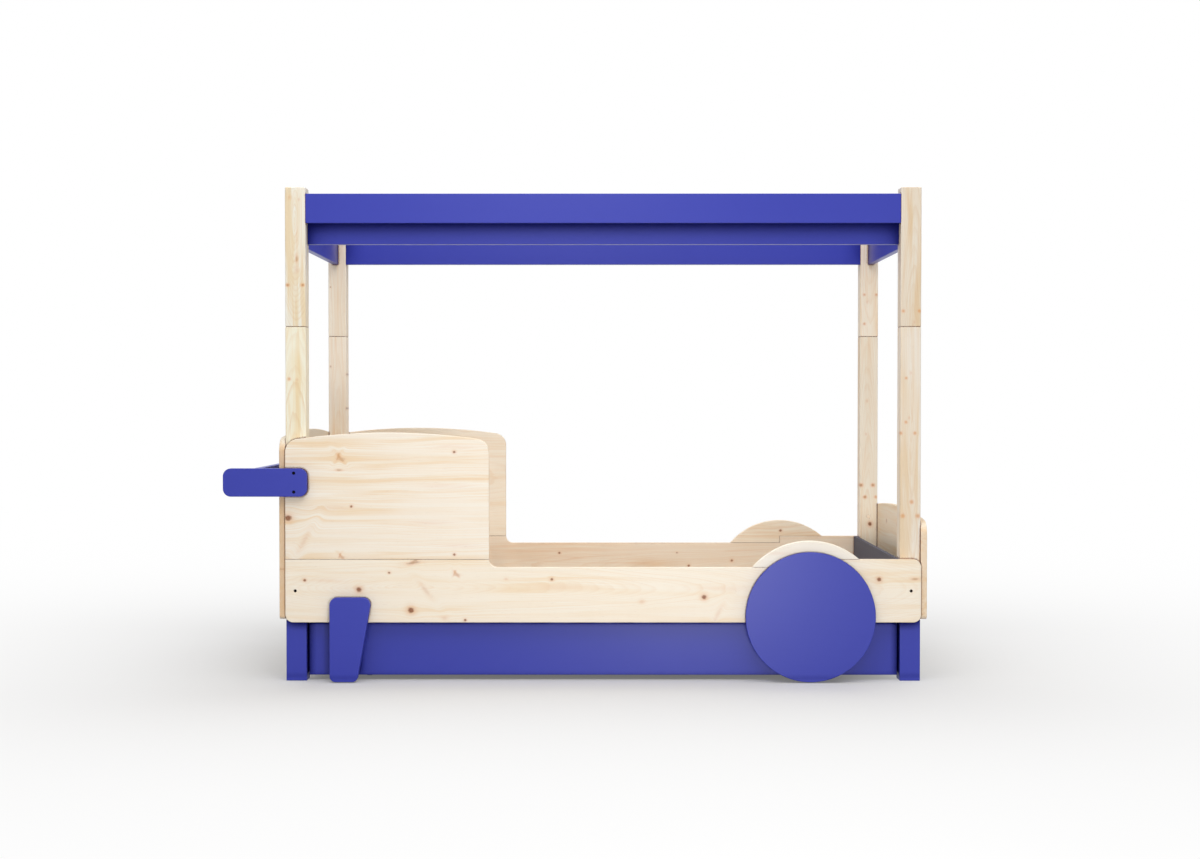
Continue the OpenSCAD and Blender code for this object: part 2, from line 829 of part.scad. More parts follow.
leg(front, near);  // leg_front_near
leg(front, far);  // leg_front_far
leg(rear, near);  // leg_rear_near
leg(rear, far);  // leg_rear_far
post(front, near);  // post_front_near
post(front, far);  // post_front_far
post(rear, near);  // post_rear_near
post(rear, far);  // post_rear_far
post_top(front, near);  // post_top_front_near
post_top(front, far);  // post_top_front_far
post_top(rear, near);  // post_top_rear_near
post_top(rear, far);  // post_top_rear_far
post_studs();
side_rail(near);  // side_rail_near
side_rail(far);  // side_rail_far
hood_side(near);  // hood_side_near
hood_side(far);  // hood_side_far
fender(near);  // fender_near
fender(far);  // fender_far
board_dowels();
end_panel(front, front_top, front_bolt_zs);  // front_panel
end_panel(rear, rear_top, rear_bolt_zs);  // rear_panel
end_board(front);  // end_board_front
end_board(rear);  // end_board_rear
slat_ledger(near);  // slat_ledger_near
slat_ledger(far);  // slat_ledger_far
bed_slats();
slat_tapes();
roof_beam(near);  // roof_beam_near
roof_beam(far);  // roof_beam_far
roof_fascia(near);  // roof_fascia_near
roof_fascia(far);  // roof_fascia_far
roof_end(front);  // roof_end_front
roof_end(rear);  // roof_end_rear
roof_dowels();
bumper_arm(near);  // bumper_arm_near
bumper_arm(far);  // bumper_arm_far
bumper_board();
wheel_disc(near, ride_y);  // wheel_disc_near
wheel_disc(far, side_y);  // wheel_disc_far
step_board(near, ride_y);  // step_near
step_board(far, side_y);  // step_far
disc_spacer();
step_spacer();
frame_bolts();
arm_bolts();
barrel_nuts();
drawer_front();
drawer_back();
drawer_side(front);  // drawer_side_front
drawer_side(rear);  // drawer_side_rear
drawer_floor();
drawer_bearers();
caster_brackets();
caster_axles();
caster_wheel(front, caster_near_y);  // caster_wheel_front_near
caster_wheel(front, caster_far_y);  // caster_wheel_front_far
caster_wheel(rear, caster_near_y);  // caster_wheel_rear_near
caster_wheel(rear, caster_far_y);  // caster_wheel_rear_far
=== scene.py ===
import math
import random

import bmesh
import bpy
from mathutils import Matrix, Vector


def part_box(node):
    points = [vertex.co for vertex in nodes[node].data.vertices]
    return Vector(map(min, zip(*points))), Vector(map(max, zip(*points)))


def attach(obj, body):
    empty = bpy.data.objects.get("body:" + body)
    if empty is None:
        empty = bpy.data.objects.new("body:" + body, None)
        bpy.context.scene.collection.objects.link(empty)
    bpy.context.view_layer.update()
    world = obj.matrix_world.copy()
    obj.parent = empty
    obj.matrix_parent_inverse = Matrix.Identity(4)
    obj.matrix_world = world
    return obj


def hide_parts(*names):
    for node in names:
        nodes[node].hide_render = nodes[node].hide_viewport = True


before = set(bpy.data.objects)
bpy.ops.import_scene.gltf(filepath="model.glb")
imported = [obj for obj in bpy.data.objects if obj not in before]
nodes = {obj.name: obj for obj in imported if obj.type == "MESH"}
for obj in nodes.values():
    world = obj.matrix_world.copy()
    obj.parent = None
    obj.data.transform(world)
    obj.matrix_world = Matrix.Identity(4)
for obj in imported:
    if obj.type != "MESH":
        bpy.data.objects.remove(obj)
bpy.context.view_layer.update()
scene = bpy.context.scene
print("frame loaded:", len(nodes), "nodes")


# Node helpers

def treeOf(*values):
    # a socket knows its tree
    return next(value.id_data for value in values if isinstance(value, bpy.types.NodeSocket))


def feed(socket, value):
    if isinstance(value, bpy.types.NodeSocket):
        socket.id_data.links.new(value, socket)
    else:
        socket.default_value = value


def addNode(tree, kind, sockets=None, **settings):
    node = tree.nodes.new(kind)
    for name, value in settings.items():
        setattr(node, name, value)
    for name, value in (sockets or {}).items():
        feed(node.inputs[name], value)
    return node


def sums(operation, *values, clamp=False):
    node = addNode(treeOf(*values), "ShaderNodeMath", operation=operation, use_clamp=clamp)
    for socket, value in zip(node.inputs, values):
        feed(socket, value)
    return node.outputs[0]


def times(value, factor, clamp=False):
    return sums("MULTIPLY", value, factor, clamp=clamp)


def minus(value, taken):
    return sums("SUBTRACT", value, taken)


def scaleAdd(value, factor, added, clamp=False):
    return sums("MULTIPLY_ADD", value, factor, added, clamp=clamp)


def vectors(operation, a, b=None):
    node = addNode(treeOf(a), "ShaderNodeVectorMath", operation=operation)
    feed(node.inputs[0], a)
    if b is not None:
        feed(node.inputs[1], b)
    return node.outputs[1 if operation == "LENGTH" else 0]


def joinXyz(x=0.0, y=0.0, z=0.0):
    return addNode(treeOf(x, y, z), "ShaderNodeCombineXYZ", {"X": x, "Y": y, "Z": z}).outputs[0]


def splitXyz(vector):
    return addNode(treeOf(vector), "ShaderNodeSeparateXYZ", {"Vector": vector}).outputs


def noise(place, scale, detail=2.0, roughness=0.5):
    stretched = vectors("MULTIPLY", place, scale)
    return addNode(treeOf(place), "ShaderNodeTexNoise", {
        "Vector": stretched, "Scale": 1.0, "Detail": detail, "Roughness": roughness}).outputs["Fac"]


def noiseLine(value, scale, detail=1.0):
    return addNode(treeOf(value), "ShaderNodeTexNoise", {
        "W": value, "Scale": scale, "Detail": detail}, noise_dimensions="1D").outputs["Fac"]


def ramp(value, stops):
    node = addNode(treeOf(value), "ShaderNodeValToRGB", {"Fac": value})
    elements = node.color_ramp.elements
    while len(elements) < len(stops):
        elements.new(0.5)
    for element, (place, grey) in zip(elements, stops):
        element.position = place
        element.color = (grey, grey, grey, 1)
    return node.outputs["Color"]


def blend(share, first, second, mode="MIX"):
    node = addNode(treeOf(share, first, second), "ShaderNodeMix", data_type="RGBA", blend_type=mode)
    sockets = node.inputs[0], node.inputs[6], node.inputs[7]
    for socket, value in zip(sockets, (share, first, second)):
        feed(socket, value)
    return node.outputs[2]


def rescale(value, fromLow, fromHigh, toLow=0.0, toHigh=1.0):
    return addNode(treeOf(value), "ShaderNodeMapRange", {
        "Value": value, "From Min": fromLow, "From Max": fromHigh,
        "To Min": toLow, "To Max": toHigh}, interpolation_type="SMOOTHSTEP").outputs[0]


def openness(tree, reach, samples):
    return addNode(
        tree, "ShaderNodeAmbientOcclusion", {"Distance": reach}, samples=samples).outputs["AO"]


def setShader(material, **sockets):
    shader = material.node_tree.nodes["Principled BSDF"]
    for name, value in sockets.items():
        feed(shader.inputs[name.replace("_", " ")], value)
    return material


def newMaterial(name, level, **sockets):
    material = bpy.data.materials.new(name)
    material.use_nodes = True
    setShader(material, Specular_IOR_Level=level, **sockets)
    return material, addNode(material.node_tree, "ShaderNodeTexCoord").outputs["Object"]


def finishShader(material, look, base, roughness, height):
    strength, distance = look["bump"]
    bump = addNode(material.node_tree, "ShaderNodeBump", {
        "Strength": strength, "Distance": distance, "Height": height}).outputs["Normal"]
    return setShader(material, Base_Color=base, Roughness=roughness, Normal=bump)


def newGroup(kind, name, inputs, outputs):
    tree = bpy.data.node_groups.new(name, kind)
    for direction, sockets in (("INPUT", inputs), ("OUTPUT", outputs)):
        for valueKind, labels in sockets.items():
            for label in labels.split():
                tree.interface.new_socket(
                    label, in_out=direction, socket_type="NodeSocket" + valueKind)
    return tree, tree.nodes.new("NodeGroupInput").outputs, tree.nodes.new("NodeGroupOutput").inputs


def useGroup(group, **values):
    return addNode(treeOf(*values.values()), "ShaderNodeGroup", values, node_tree=group).outputs


def colour(red, green, blue):
    # from 0-255 screen values to linear ones
    def linear(v):
        v /= 255
        return v / 12.92 if v <= 0.04045 else ((v + 0.055) / 1.055) ** 2.4
    return (linear(red), linear(green), linear(blue), 1.0)


# Pine: one node group for a single knot, one for scattered knots, one for the grain.
# They work in board space: x along the grain, y across the face, z into the board.

knotLook = {"sink": 0.22, "ragged": 0.55, "rings": 17.0, "ringDepth": 0.14, "edge": (0.40, 1.10),
            "glowFall": -0.55, "bend": -0.75, "bendFall": -0.16, "noise": ((160, 260, 160), 2)}


def makeKnotGroup():
    # a knot bends the place round itself, and the grain follows
    look = knotLook
    tree, given, out = newGroup(
        "ShaderNodeTree", "pineKnot",
        {"Vector": "Place At", "Float": "Ragged Size Stretch Turn Dark Glow Core Halo"},
        {"Vector": "Place", "Float": "Core Halo"})
    away = vectors("SUBTRACT", given["Place"], given["At"])
    turned = addNode(tree, "ShaderNodeVectorRotate", {"Vector": away, "Angle": given["Turn"]},
                     rotation_type="Z_AXIS").outputs[0]
    x, y, z = splitXyz(turned)
    flat = joinXyz(sums("DIVIDE", x, given["Stretch"]), y, times(z, look["sink"]))
    far = sums("DIVIDE", vectors("LENGTH", flat), given["Size"])
    far = scaleAdd(given["Ragged"], look["ragged"], far)
    rings = scaleAdd(sums("SINE", times(far, look["rings"])), look["ringDepth"],
                     1 - look["ringDepth"])
    core = times(rescale(far, *look["edge"], 1.0, 0.0), given["Dark"])
    square = times(far, far)
    halo = times(sums("EXPONENT", times(square, look["glowFall"])), given["Glow"])
    soft = sums("EXPONENT", times(square, look["bendFall"]))
    push = times(times(splitXyz(away)[1], soft), look["bend"])
    feed(out["Place"], vectors("ADD", given["Place"], joinXyz(y=push)))
    feed(out["Core"], sums("MAXIMUM", given["Core"], times(core, rings)))
    feed(out["Halo"], sums("ADD", given["Halo"], halo, clamp=True))
    return tree


scatterLook = {
    "jitter": 0.8,
    "sizes": (0.9, 0.35),  # a random share times the first, plus the second
    "darks": (0.6, 0.3),
    "glow": 0.45,
    "stretch": 1.25,
    "seedShift": (3.1, 1.7),
}


def makeScatterGroup():
    # a knot in some of the cells of a stretched cell pattern
    look = scatterLook
    tree, given, out = newGroup(
        "ShaderNodeTree", "pineScatter", {"Vector": "Place Cell", "Float": "Share Size"},
        {"Vector": "At", "Float": "Size Dark Glow"})
    cells = addNode(tree, "ShaderNodeTexVoronoi", {
        "Vector": vectors("DIVIDE", given["Place"], given["Cell"]), "Scale": 1.0,
        "Randomness": look["jitter"]}, voronoi_dimensions="2D").outputs
    red, green, blue = addNode(tree, "ShaderNodeSeparateColor", {"Color": cells["Color"]}).outputs
    there = sums("LESS_THAN", red, given["Share"])
    feed(out["At"], vectors("MULTIPLY", cells["Position"], given["Cell"]))
    feed(out["Size"], times(given["Size"], scaleAdd(green, *look["sizes"])))
    feed(out["Dark"], times(there, scaleAdd(blue, *look["darks"])))
    feed(out["Glow"], times(there, look["glow"]))
    return tree


pineLook = {
    "pale": colour(253, 243, 226), "golden": colour(245, 219, 180), "late": colour(230, 187, 136),
    "pink": colour(243, 218, 193), "halo": colour(224, 154, 86), "core": colour(118, 56, 26),
    # seam is the strength of the painted shade in seams
    "layers": {"broad": 0.92, "fine": 0.50, "ring": 0.26, "fibre": 0.08, "fleck": 0.12,
               "canal": 0.16, "halo": 0.60, "core": 0.94, "seam": 0.95},
    "noises": {  # waves in a metre, detail and roughness
        "sway": ((1.4, 5, 5), 2), "rise": ((1.1, 3, 3), 2, 0.4), "wobble": ((9, 70, 70), 2, 0.6),
        "patch": ((2.1, 7, 7), 1), "broad": ((1.5, 36, 36), 3, 0.62),
        "fine": ((1.9, 210, 210), 3, 0.62), "fibre": ((11, 620, 620), 2, 0.65),
        "canal": ((46, 1150, 1150), 1), "fleck": ((26, 150, 150), 2, 0.6)},
    "marks": {  # where in its noise a mark begins and is full, and for patches the least share
        "patch": (0.36, 0.62, 0.35), "band": (0.42, 0.70), "broad": (0.45, 0.68),
        "fine": (0.42, 0.76), "canal": (0.69, 0.78), "fleck": (0.68, 0.84)},
    "sway": 0.04, "rise": 0.05, "wobble": 0.8,
    "ringStops": [(0.0, 0.16), (0.12, 0.0), (0.45, 0.08), (0.86, 1.0), (0.95, 0.9), (1.0, 0.16)],
    "ringNoise": 0.73, "ringShare": (1.6, -0.3),
    "bandNoise": (0.21, 2.0), "bandSeed": 9.0, "bandShare": 0.34, "broadShare": 0.88,
    # the painted seam shade: its reach and samples, then the open share where it is full and where
    # it ends
    "seam": (0.007, 2),  # reach and samples
    "seamFrom": (0.55, 0.98), "endFrom": (0.75, 0.97),
    "Height": {"fibre": 0.6, "ring": 0.5, "canal": -0.9, "core": 0.5},
    "Roughness": {"fibre": 0.13, "ring": -0.06, "core": -0.10, "end": 0.16},
    "roughness": 0.40, "level": 0.30, "bump": (0.35, 0.0004),
}


def makeGrainGroup():
    # growth rings round the pith, cut by the board's face, under long soft streaks
    look = pineLook
    layers, noises, marks = look["layers"], look["noises"], look["marks"]
    tree, given, out = newGroup(
        "ShaderNodeTree", "pineGrain",
        {"Vector": "Place", "Float": "Seed Depth Aim Tilt Pitch Pink Deep End Core Halo",
         "Color": "Tint"},
        {"Color": "Color", "Float": "Height Roughness"})
    place, seed = given["Place"], given["Seed"]
    seeded = vectors("ADD", place, joinXyz(seed, seed, seed))
    sway = minus(noise(seeded, *noises["sway"]), 0.5)
    flowing = vectors("ADD", seeded, joinXyz(y=times(sway, look["sway"])))
    x, y, z = splitXyz(place)
    rise = minus(noise(seeded, *noises["rise"]), 0.5)
    across = scaleAdd(sway, look["sway"], minus(y, given["Aim"]))
    below = sums("ADD", scaleAdd(x, given["Tilt"], given["Depth"]), z)
    below = scaleAdd(rise, look["rise"], below)
    radius = vectors("LENGTH", joinXyz(across, below))
    count = sums("DIVIDE", radius, given["Pitch"])
    count = scaleAdd(noise(seeded, *noises["wobble"]), look["wobble"], count)
    ring = ramp(sums("FRACT", count), look["ringStops"])
    vary = noiseLine(sums("FLOOR", count), look["ringNoise"])
    ring = times(ring, scaleAdd(vary, *look["ringShare"], clamp=True))
    # some rings are darker or paler, and the streaks fade in and out along the board
    found = {"ring": ring, "fibre": noise(seeded, *noises["fibre"]), "core": given["Core"],
             "halo": given["Halo"], "end": given["End"]}
    for name, place in (("patch", seeded), ("canal", seeded), ("fleck", seeded), ("broad", flowing),
                        ("fine", flowing)):
        found[name] = rescale(noise(place, *noises[name]), *marks[name])
    bands = noiseLine(sums("ADD", count, times(seed, look["bandSeed"])), *look["bandNoise"])
    bands, broad, found["fine"] = [times(amount, found["patch"]) for amount in (
        rescale(bands, *marks["band"]), found["broad"], found["fine"])]
    found["broad"] = scaleAdd(
        bands, look["bandShare"], times(broad, look["broadShare"]), clamp=True)

    tone = blend(given["Pink"], look["golden"], look["pink"])
    deep = sums("ADD", 1.0, given["Deep"])
    result = look["pale"]
    for name, paint in (("broad", tone), ("fine", tone), ("ring", look["late"])):
        share = times(times(found[name], layers[name]), deep, clamp=True)
        result = blend(share, result, paint)
    for name, paint in (("fibre", "golden"), ("fleck", "halo"), ("canal", "core")):
        result = blend(times(found[name], layers[name]), result, look[paint])
    result = blend(1.0, result, given["Tint"], "MULTIPLY")
    result = blend(given["End"], result, look["late"])
    for name in ("halo", "core"):
        result = blend(times(found[name], layers[name]), result, look[name])
    # painted shade: in the seams between boards and where parts meet, the colour darkens towards
    # the core tone where little is open round it
    seam = rescale(openness(tree, *look["seam"]), *look["seamFrom"], layers["seam"], 0.0)
    feed(out["Color"], blend(seam, result, look["core"]))

    for output, total in (("Height", 0.0), ("Roughness", look["roughness"])):
        for name, factor in look[output].items():
            total = scaleAdd(found[name], factor, total)
        feed(out[output], total)
    return tree


knotGroup = makeKnotGroup()
scatterGroup = makeScatterGroup()
grainGroup = makeGrainGroup()

# strokes: offsets along and across in sizes, share of the size and turn
knotKinds = {
    "dot": {"stretch": 1.1, "dark": 0.95, "glow": 0.90},
    "big": {"stretch": 1.1, "dark": 1.0, "glow": 1.10, "strokes": [(0, 0, 1, 12)]},
    "faint": {"stretch": 1.4, "dark": 0.05, "glow": 0.42},
    "dash": {"stretch": 3.2, "dark": 0.28, "glow": 0.80},
    "streak": {"stretch": 8.0, "dark": 0.0, "glow": 0.22},
    "slash": {"stretch": 4.5, "dark": 0.04, "glow": 0.32, "strokes": [(0, 0, 1, -62)]},
    "backslash": {"stretch": 4.0, "dark": 0.08, "glow": 0.38, "strokes": [(0, 0, 1, 52)]},
    "feather": {"stretch": 4.2, "dark": 0.18, "glow": 0.46, "strokes": [
        (0, 0, 0.34, 50), (-0.5, 0.1, 0.28, -58), (0.5, -0.2, 0.30, 8)]},
    "grey": {"stretch": 6.0, "dark": 0.42, "glow": 0.50, "strokes": [
        (0, 0, 0.6, -9), (1.6, 0.8, 0.5, -22)]},
    "red": {"stretch": 0.9, "dark": 0.46, "glow": 2.0},
    "orange": {"stretch": 1.0, "dark": 0.07, "glow": 1.4},
}

# for many boards in one node: what a step adds to the seed, along and across
repeatShift = (1.713, 0.377, 0.0231)

# what a board has by default
plainBoard = {"pitch": 0.0036, "pink": 0.2, "deep": 0.0, "tint": (1, 1, 1), "end": 0.45,
              "knots": []}


def pineMaterial(name, board):
    board = {**plainBoard, **board}
    order = ["XYZ".index(board[key]) for key in ("along", "across", "into")]
    material, given = newMaterial(name, pineLook["level"])
    parts = splitXyz(given)
    away = [minus(parts[axis], board["middle"][axis]) for axis in order]
    seed = board["seed"]
    if "repeat" in board:
        start, pitch = board["repeat"]
        step = sums("FLOOR", sums("DIVIDE", minus(parts[0], start), pitch))
        seed, away[0], away[1] = [scaleAdd(step, shift, value)
                                  for shift, value in zip(repeatShift, (seed, away[0], away[1]))]
    place = joinXyz(*away)
    ragged = minus(noise(place, *knotLook["noise"]), 0.5)
    core = halo = 0.0
    for along, across, size, kind in board["knots"]:
        look = knotKinds[kind]
        for right, up, share, turn in look.get("strokes", [(0, 0, 1, 0)]):
            at = (along + right * size - board["middle"][order[0]],
                  across + up * size - board["middle"][order[1]], board["front"])
            made = useGroup(knotGroup, Place=place, Ragged=ragged, At=at, Size=size * share,
                            Stretch=look["stretch"], Turn=math.radians(turn), Dark=look["dark"],
                            Glow=look["glow"], Core=core, Halo=halo)
            place, core, halo = made["Place"], made["Core"], made["Halo"]
    if "scatter" in board:
        cell, share, size = board["scatter"]
        shift = [board["seed"] * factor for factor in scatterLook["seedShift"]]
        shifted = vectors("ADD", place, (*shift, 0))
        found = useGroup(scatterGroup, Place=shifted, Cell=(*cell, 1), Share=share, Size=size)
        flat = vectors("MULTIPLY", shifted, (1, 1, 0))
        at = vectors("MULTIPLY", found["At"], (1, 1, 0))
        made = useGroup(knotGroup, Place=flat, Ragged=ragged, At=at, Size=found["Size"],
                        Stretch=scatterLook["stretch"], Turn=0.0, Dark=found["Dark"],
                        Glow=found["Glow"], Core=core, Halo=halo)
        moved = vectors("SUBTRACT", made["Place"], flat)
        place, core, halo = vectors("ADD", place, moved), made["Core"], made["Halo"]
    facing = sums("ABSOLUTE", splitXyz(given.node.outputs["Normal"])[order[0]])
    depth, aim, tilt = board["cut"]
    grain = useGroup(grainGroup, Place=place, Seed=seed, Depth=depth, Aim=aim, Tilt=tilt,
                     Pitch=board["pitch"], Pink=board["pink"], Deep=board["deep"],
                     Tint=(*board["tint"], 1), Core=core, Halo=halo,
                     End=rescale(facing, *pineLook["endFrom"], 0.0, board["end"]))
    return finishShader(material, pineLook, grain["Color"], grain["Roughness"], grain["Height"])


# Lacquers, metals and the rest

lacquerLook = {
    "blue": colour(53, 62, 172), "shade": colour(48, 57, 165), "nookShade": colour(12, 13, 74),
    # painted shade in nooks: the open share where it is darkest and where it ends, and its strength
    "nookShadeEdge": (0.66, 0.97, 0.92),
    # at the roof the painted shade reaches further and spreads wider, for the shade under the
    # fascia
    "roofShadeEdge": (0.45, 1.0, 0.82),
    "reach": 0.030,
    "roofShadeReach": 0.075,  # what the reach gains at the roof
    "roofFrom": (1.0, 1.4),
    # next to the floor the painted nook shade fades out
    "floorFrom": (0.004, 0.03),  # next to the floor there are no nooks
    # the share of painted nook shade at which all the gloss is gone
    "shadeDullFrom": 0.8, "samples": 6, "level": 0.42,
    "clouds": ((3, 3, 3), 3), "brushed": ((5, 90, 90), 2), "brushedShare": 0.25,
    "peel": ((230, 230, 230), 2, 0.45), "specks": ((420, 420, 420), 2, 0.6), "speckShare": 0.2,
    "roughness": (0.10, 0.31),  # what the noise adds, and the base
    "bump": (0.22, 0.0004),
}


def lacquerMaterial():
    look = lacquerLook
    material, place = newMaterial("blueLacquer", look["level"])
    clouds, brushed, specks, peel = [
        noise(place, *look[name]) for name in ("clouds", "brushed", "specks", "peel")]
    brushes, dots = look["brushedShare"], look["speckShare"]
    share = scaleAdd(brushed, brushes, times(clouds, 1 - brushes), clamp=True)
    # painted shade: in nooks and under the roof the coat is drawn darker and less glossy, where
    # little light reaches
    height = splitXyz(place)[2]
    roof = rescale(height, *look["roofFrom"])
    reach = scaleAdd(roof, look["roofShadeReach"], look["reach"])
    seen = openness(treeOf(place), reach, look["samples"])
    nookShade, wide = [rescale(seen, *look[edge], 0.0) for edge in ("nookShadeEdge", "roofShadeEdge")]
    nookShade = sums("ADD", times(nookShade, minus(1.0, roof)), times(wide, roof))
    nookShade = times(nookShade, rescale(height, *look["floorFrom"]))
    base = blend(nookShade, blend(share, look["blue"], look["shade"]), look["nookShade"])
    level = scaleAdd(nookShade, -look["level"] / look["shadeDullFrom"], look["level"], clamp=True)
    setShader(material, Specular_IOR_Level=level)
    return finishShader(material, look, base, scaleAdd(specks, *look["roughness"]),
                        scaleAdd(peel, 1 - dots, times(specks, dots)))


slateLook = {"dark": colour(66, 68, 84), "light": colour(79, 81, 97),
             "chips": ((90, 90, 90), 4, 0.7), "grit": ((520, 520, 520), 3, 0.6),
             "roughness": (0.12, 0.56), "bump": (0.25, 0.0003)}


def slateMaterial():
    look = slateLook
    material, place = newMaterial("slateBoard", level=0.3)
    chips = noise(place, *look["chips"])
    return finishShader(material, look, blend(chips, look["dark"], look["light"]),
                        scaleAdd(chips, *look["roughness"]), noise(place, *look["grit"]))


beechLook = {"pale": colour(214, 172, 122), "ray": colour(178, 128, 82), "raysFrom": (0.5, 0.75),
             "rays": ((300, 300, 300), 2, 0.6), "roughness": (0.1, 0.5), "bump": (0.3, 0.0003)}


def beechMaterial():
    look = beechLook
    material, place = newMaterial("beechDowel", level=0.25)
    rays = rescale(noise(place, *look["rays"]), *look["raysFrom"])
    return finishShader(material, look, blend(rays, look["pale"], look["ray"]),
                        scaleAdd(rays, *look["roughness"]), rays)


plainMetal = {"spangle": ((260, 260, 260), 3, 0.6), "spangleFrom": (0.35, 0.7),
              "fine": ((1500, 1500, 200), 2, 0.6), "bump": (0.2, 0.0001)}
metalLooks = {
    "zincSteel": {"base": colour(196, 198, 202), "worn": colour(168, 171, 178),
                  "roughness": (0.2, 0.24), "metallic": 1.0, "level": 0.5},
    "blackSteel": {"base": colour(6, 6, 7), "worn": colour(14, 14, 15),
                   "roughness": (0.2, 0.60), "metallic": 0.10, "level": 0.1},
}


def metalMaterial(name):
    look = {**plainMetal, **metalLooks[name]}
    material, place = newMaterial(name, look["level"], Metallic=look["metallic"])
    spangle = rescale(noise(place, *look["spangle"]), *look["spangleFrom"])
    fine = noise(place, *look["fine"])
    return finishShader(material, look, blend(spangle, look["base"], look["worn"]),
                        scaleAdd(fine, *look["roughness"]), fine)


castorLook = {"hub": colour(196, 197, 200), "tread": colour(92, 94, 98), "treadFrom": 0.0135,
              "line": 0.0003, "dust": ((600, 600, 600), 3, 0.6), "dustShare": 0.35,
              "treadDull": 0.28, "roughness": (0.15, 0.3), "bump": (0.3, 0.0002)}


def castorMaterial(name, axle):
    # pale nylon hub, grey rubber tread outside it
    look = castorLook
    material, place = newMaterial(name, level=0.4)
    away = vectors("MULTIPLY", vectors("SUBTRACT", place, (0, axle.y, axle.z)), (0, 1, 1))
    tread = rescale(vectors("LENGTH", away), look["treadFrom"] - look["line"],
                    look["treadFrom"] + look["line"])
    dust = noise(place, *look["dust"])
    worn = blend(times(dust, look["dustShare"]), look["tread"], look["hub"])
    rough = scaleAdd(tread, look["treadDull"], scaleAdd(dust, *look["roughness"]))
    return finishShader(material, look, blend(tread, look["hub"], worn), rough, dust)


webbingLook = {"warp": colour(236, 232, 220), "weft": colour(208, 203, 188), "thread": 0.0011,
               "fuzz": ((900, 900, 900), 2), "fuzzShare": 0.3, "weaveShare": 0.6,
               "roughness": (0.15, 0.75), "bump": (0.6, 0.0005)}


def webbingMaterial():
    look = webbingLook
    material, place = newMaterial("webbing", level=0.15, Sheen_Weight=0.3)
    tree = treeOf(place)
    x, y = splitXyz(place)[:2]
    turn = math.pi / look["thread"]
    alongThread, acrossThread = [
        sums("ABSOLUTE", sums("SINE", times(part, turn))) for part in (x, y)]
    check = addNode(tree, "ShaderNodeTexChecker", {
        "Vector": joinXyz(x, y), "Scale": 1 / look["thread"],
        "Color1": (1, 1, 1, 1), "Color2": (0, 0, 0, 1)}).outputs["Fac"]
    height = addNode(tree, "ShaderNodeMix", {0: check, 2: alongThread, 3: acrossThread}).outputs[0]
    fuzz = noise(place, *look["fuzz"])
    weave = scaleAdd(height, -look["weaveShare"], look["weaveShare"])
    share = scaleAdd(fuzz, look["fuzzShare"], weave, clamp=True)
    return finishShader(material, look, blend(share, look["warp"], look["weft"]),
                        scaleAdd(fuzz, *look["roughness"]), height)


blueLacquer = lacquerMaterial()
slateBoard = slateMaterial()
beechDowel = beechMaterial()
zincSteel = metalMaterial("zincSteel")
blackSteel = metalMaterial("blackSteel")
webbing = webbingMaterial()


def dress(name, material):
    piece = nodes[name]
    piece.data.materials.clear()
    piece.data.materials.append(material)


# Boards of pine. Axes: along the grain, across the face and into the board.
# cut: how deep the pith lies, how far across and how it tilts along the board
# knots: place along and across in the frame, size and kind
# scatter: cell, share of the cells with a knot, size
# repeat: start and pitch of the boards in one node

lengthways = {"along": "X", "across": "Z", "into": "Y"}
upright = {"along": "Z", "across": "X", "into": "Y"}
crosswise = {"along": "Y", "across": "Z", "into": "X"}
slatwise = {"along": "Y", "across": "X", "into": "Z"}
flatwise = {"along": "X", "across": "Y", "into": "Z"}
ledgerWood = {**lengthways, "scatter": ((0.3, 0.1), 0.4, 0.006)}
drawerWood = {"scatter": ((0.25, 0.12), 0.45, 0.008)}

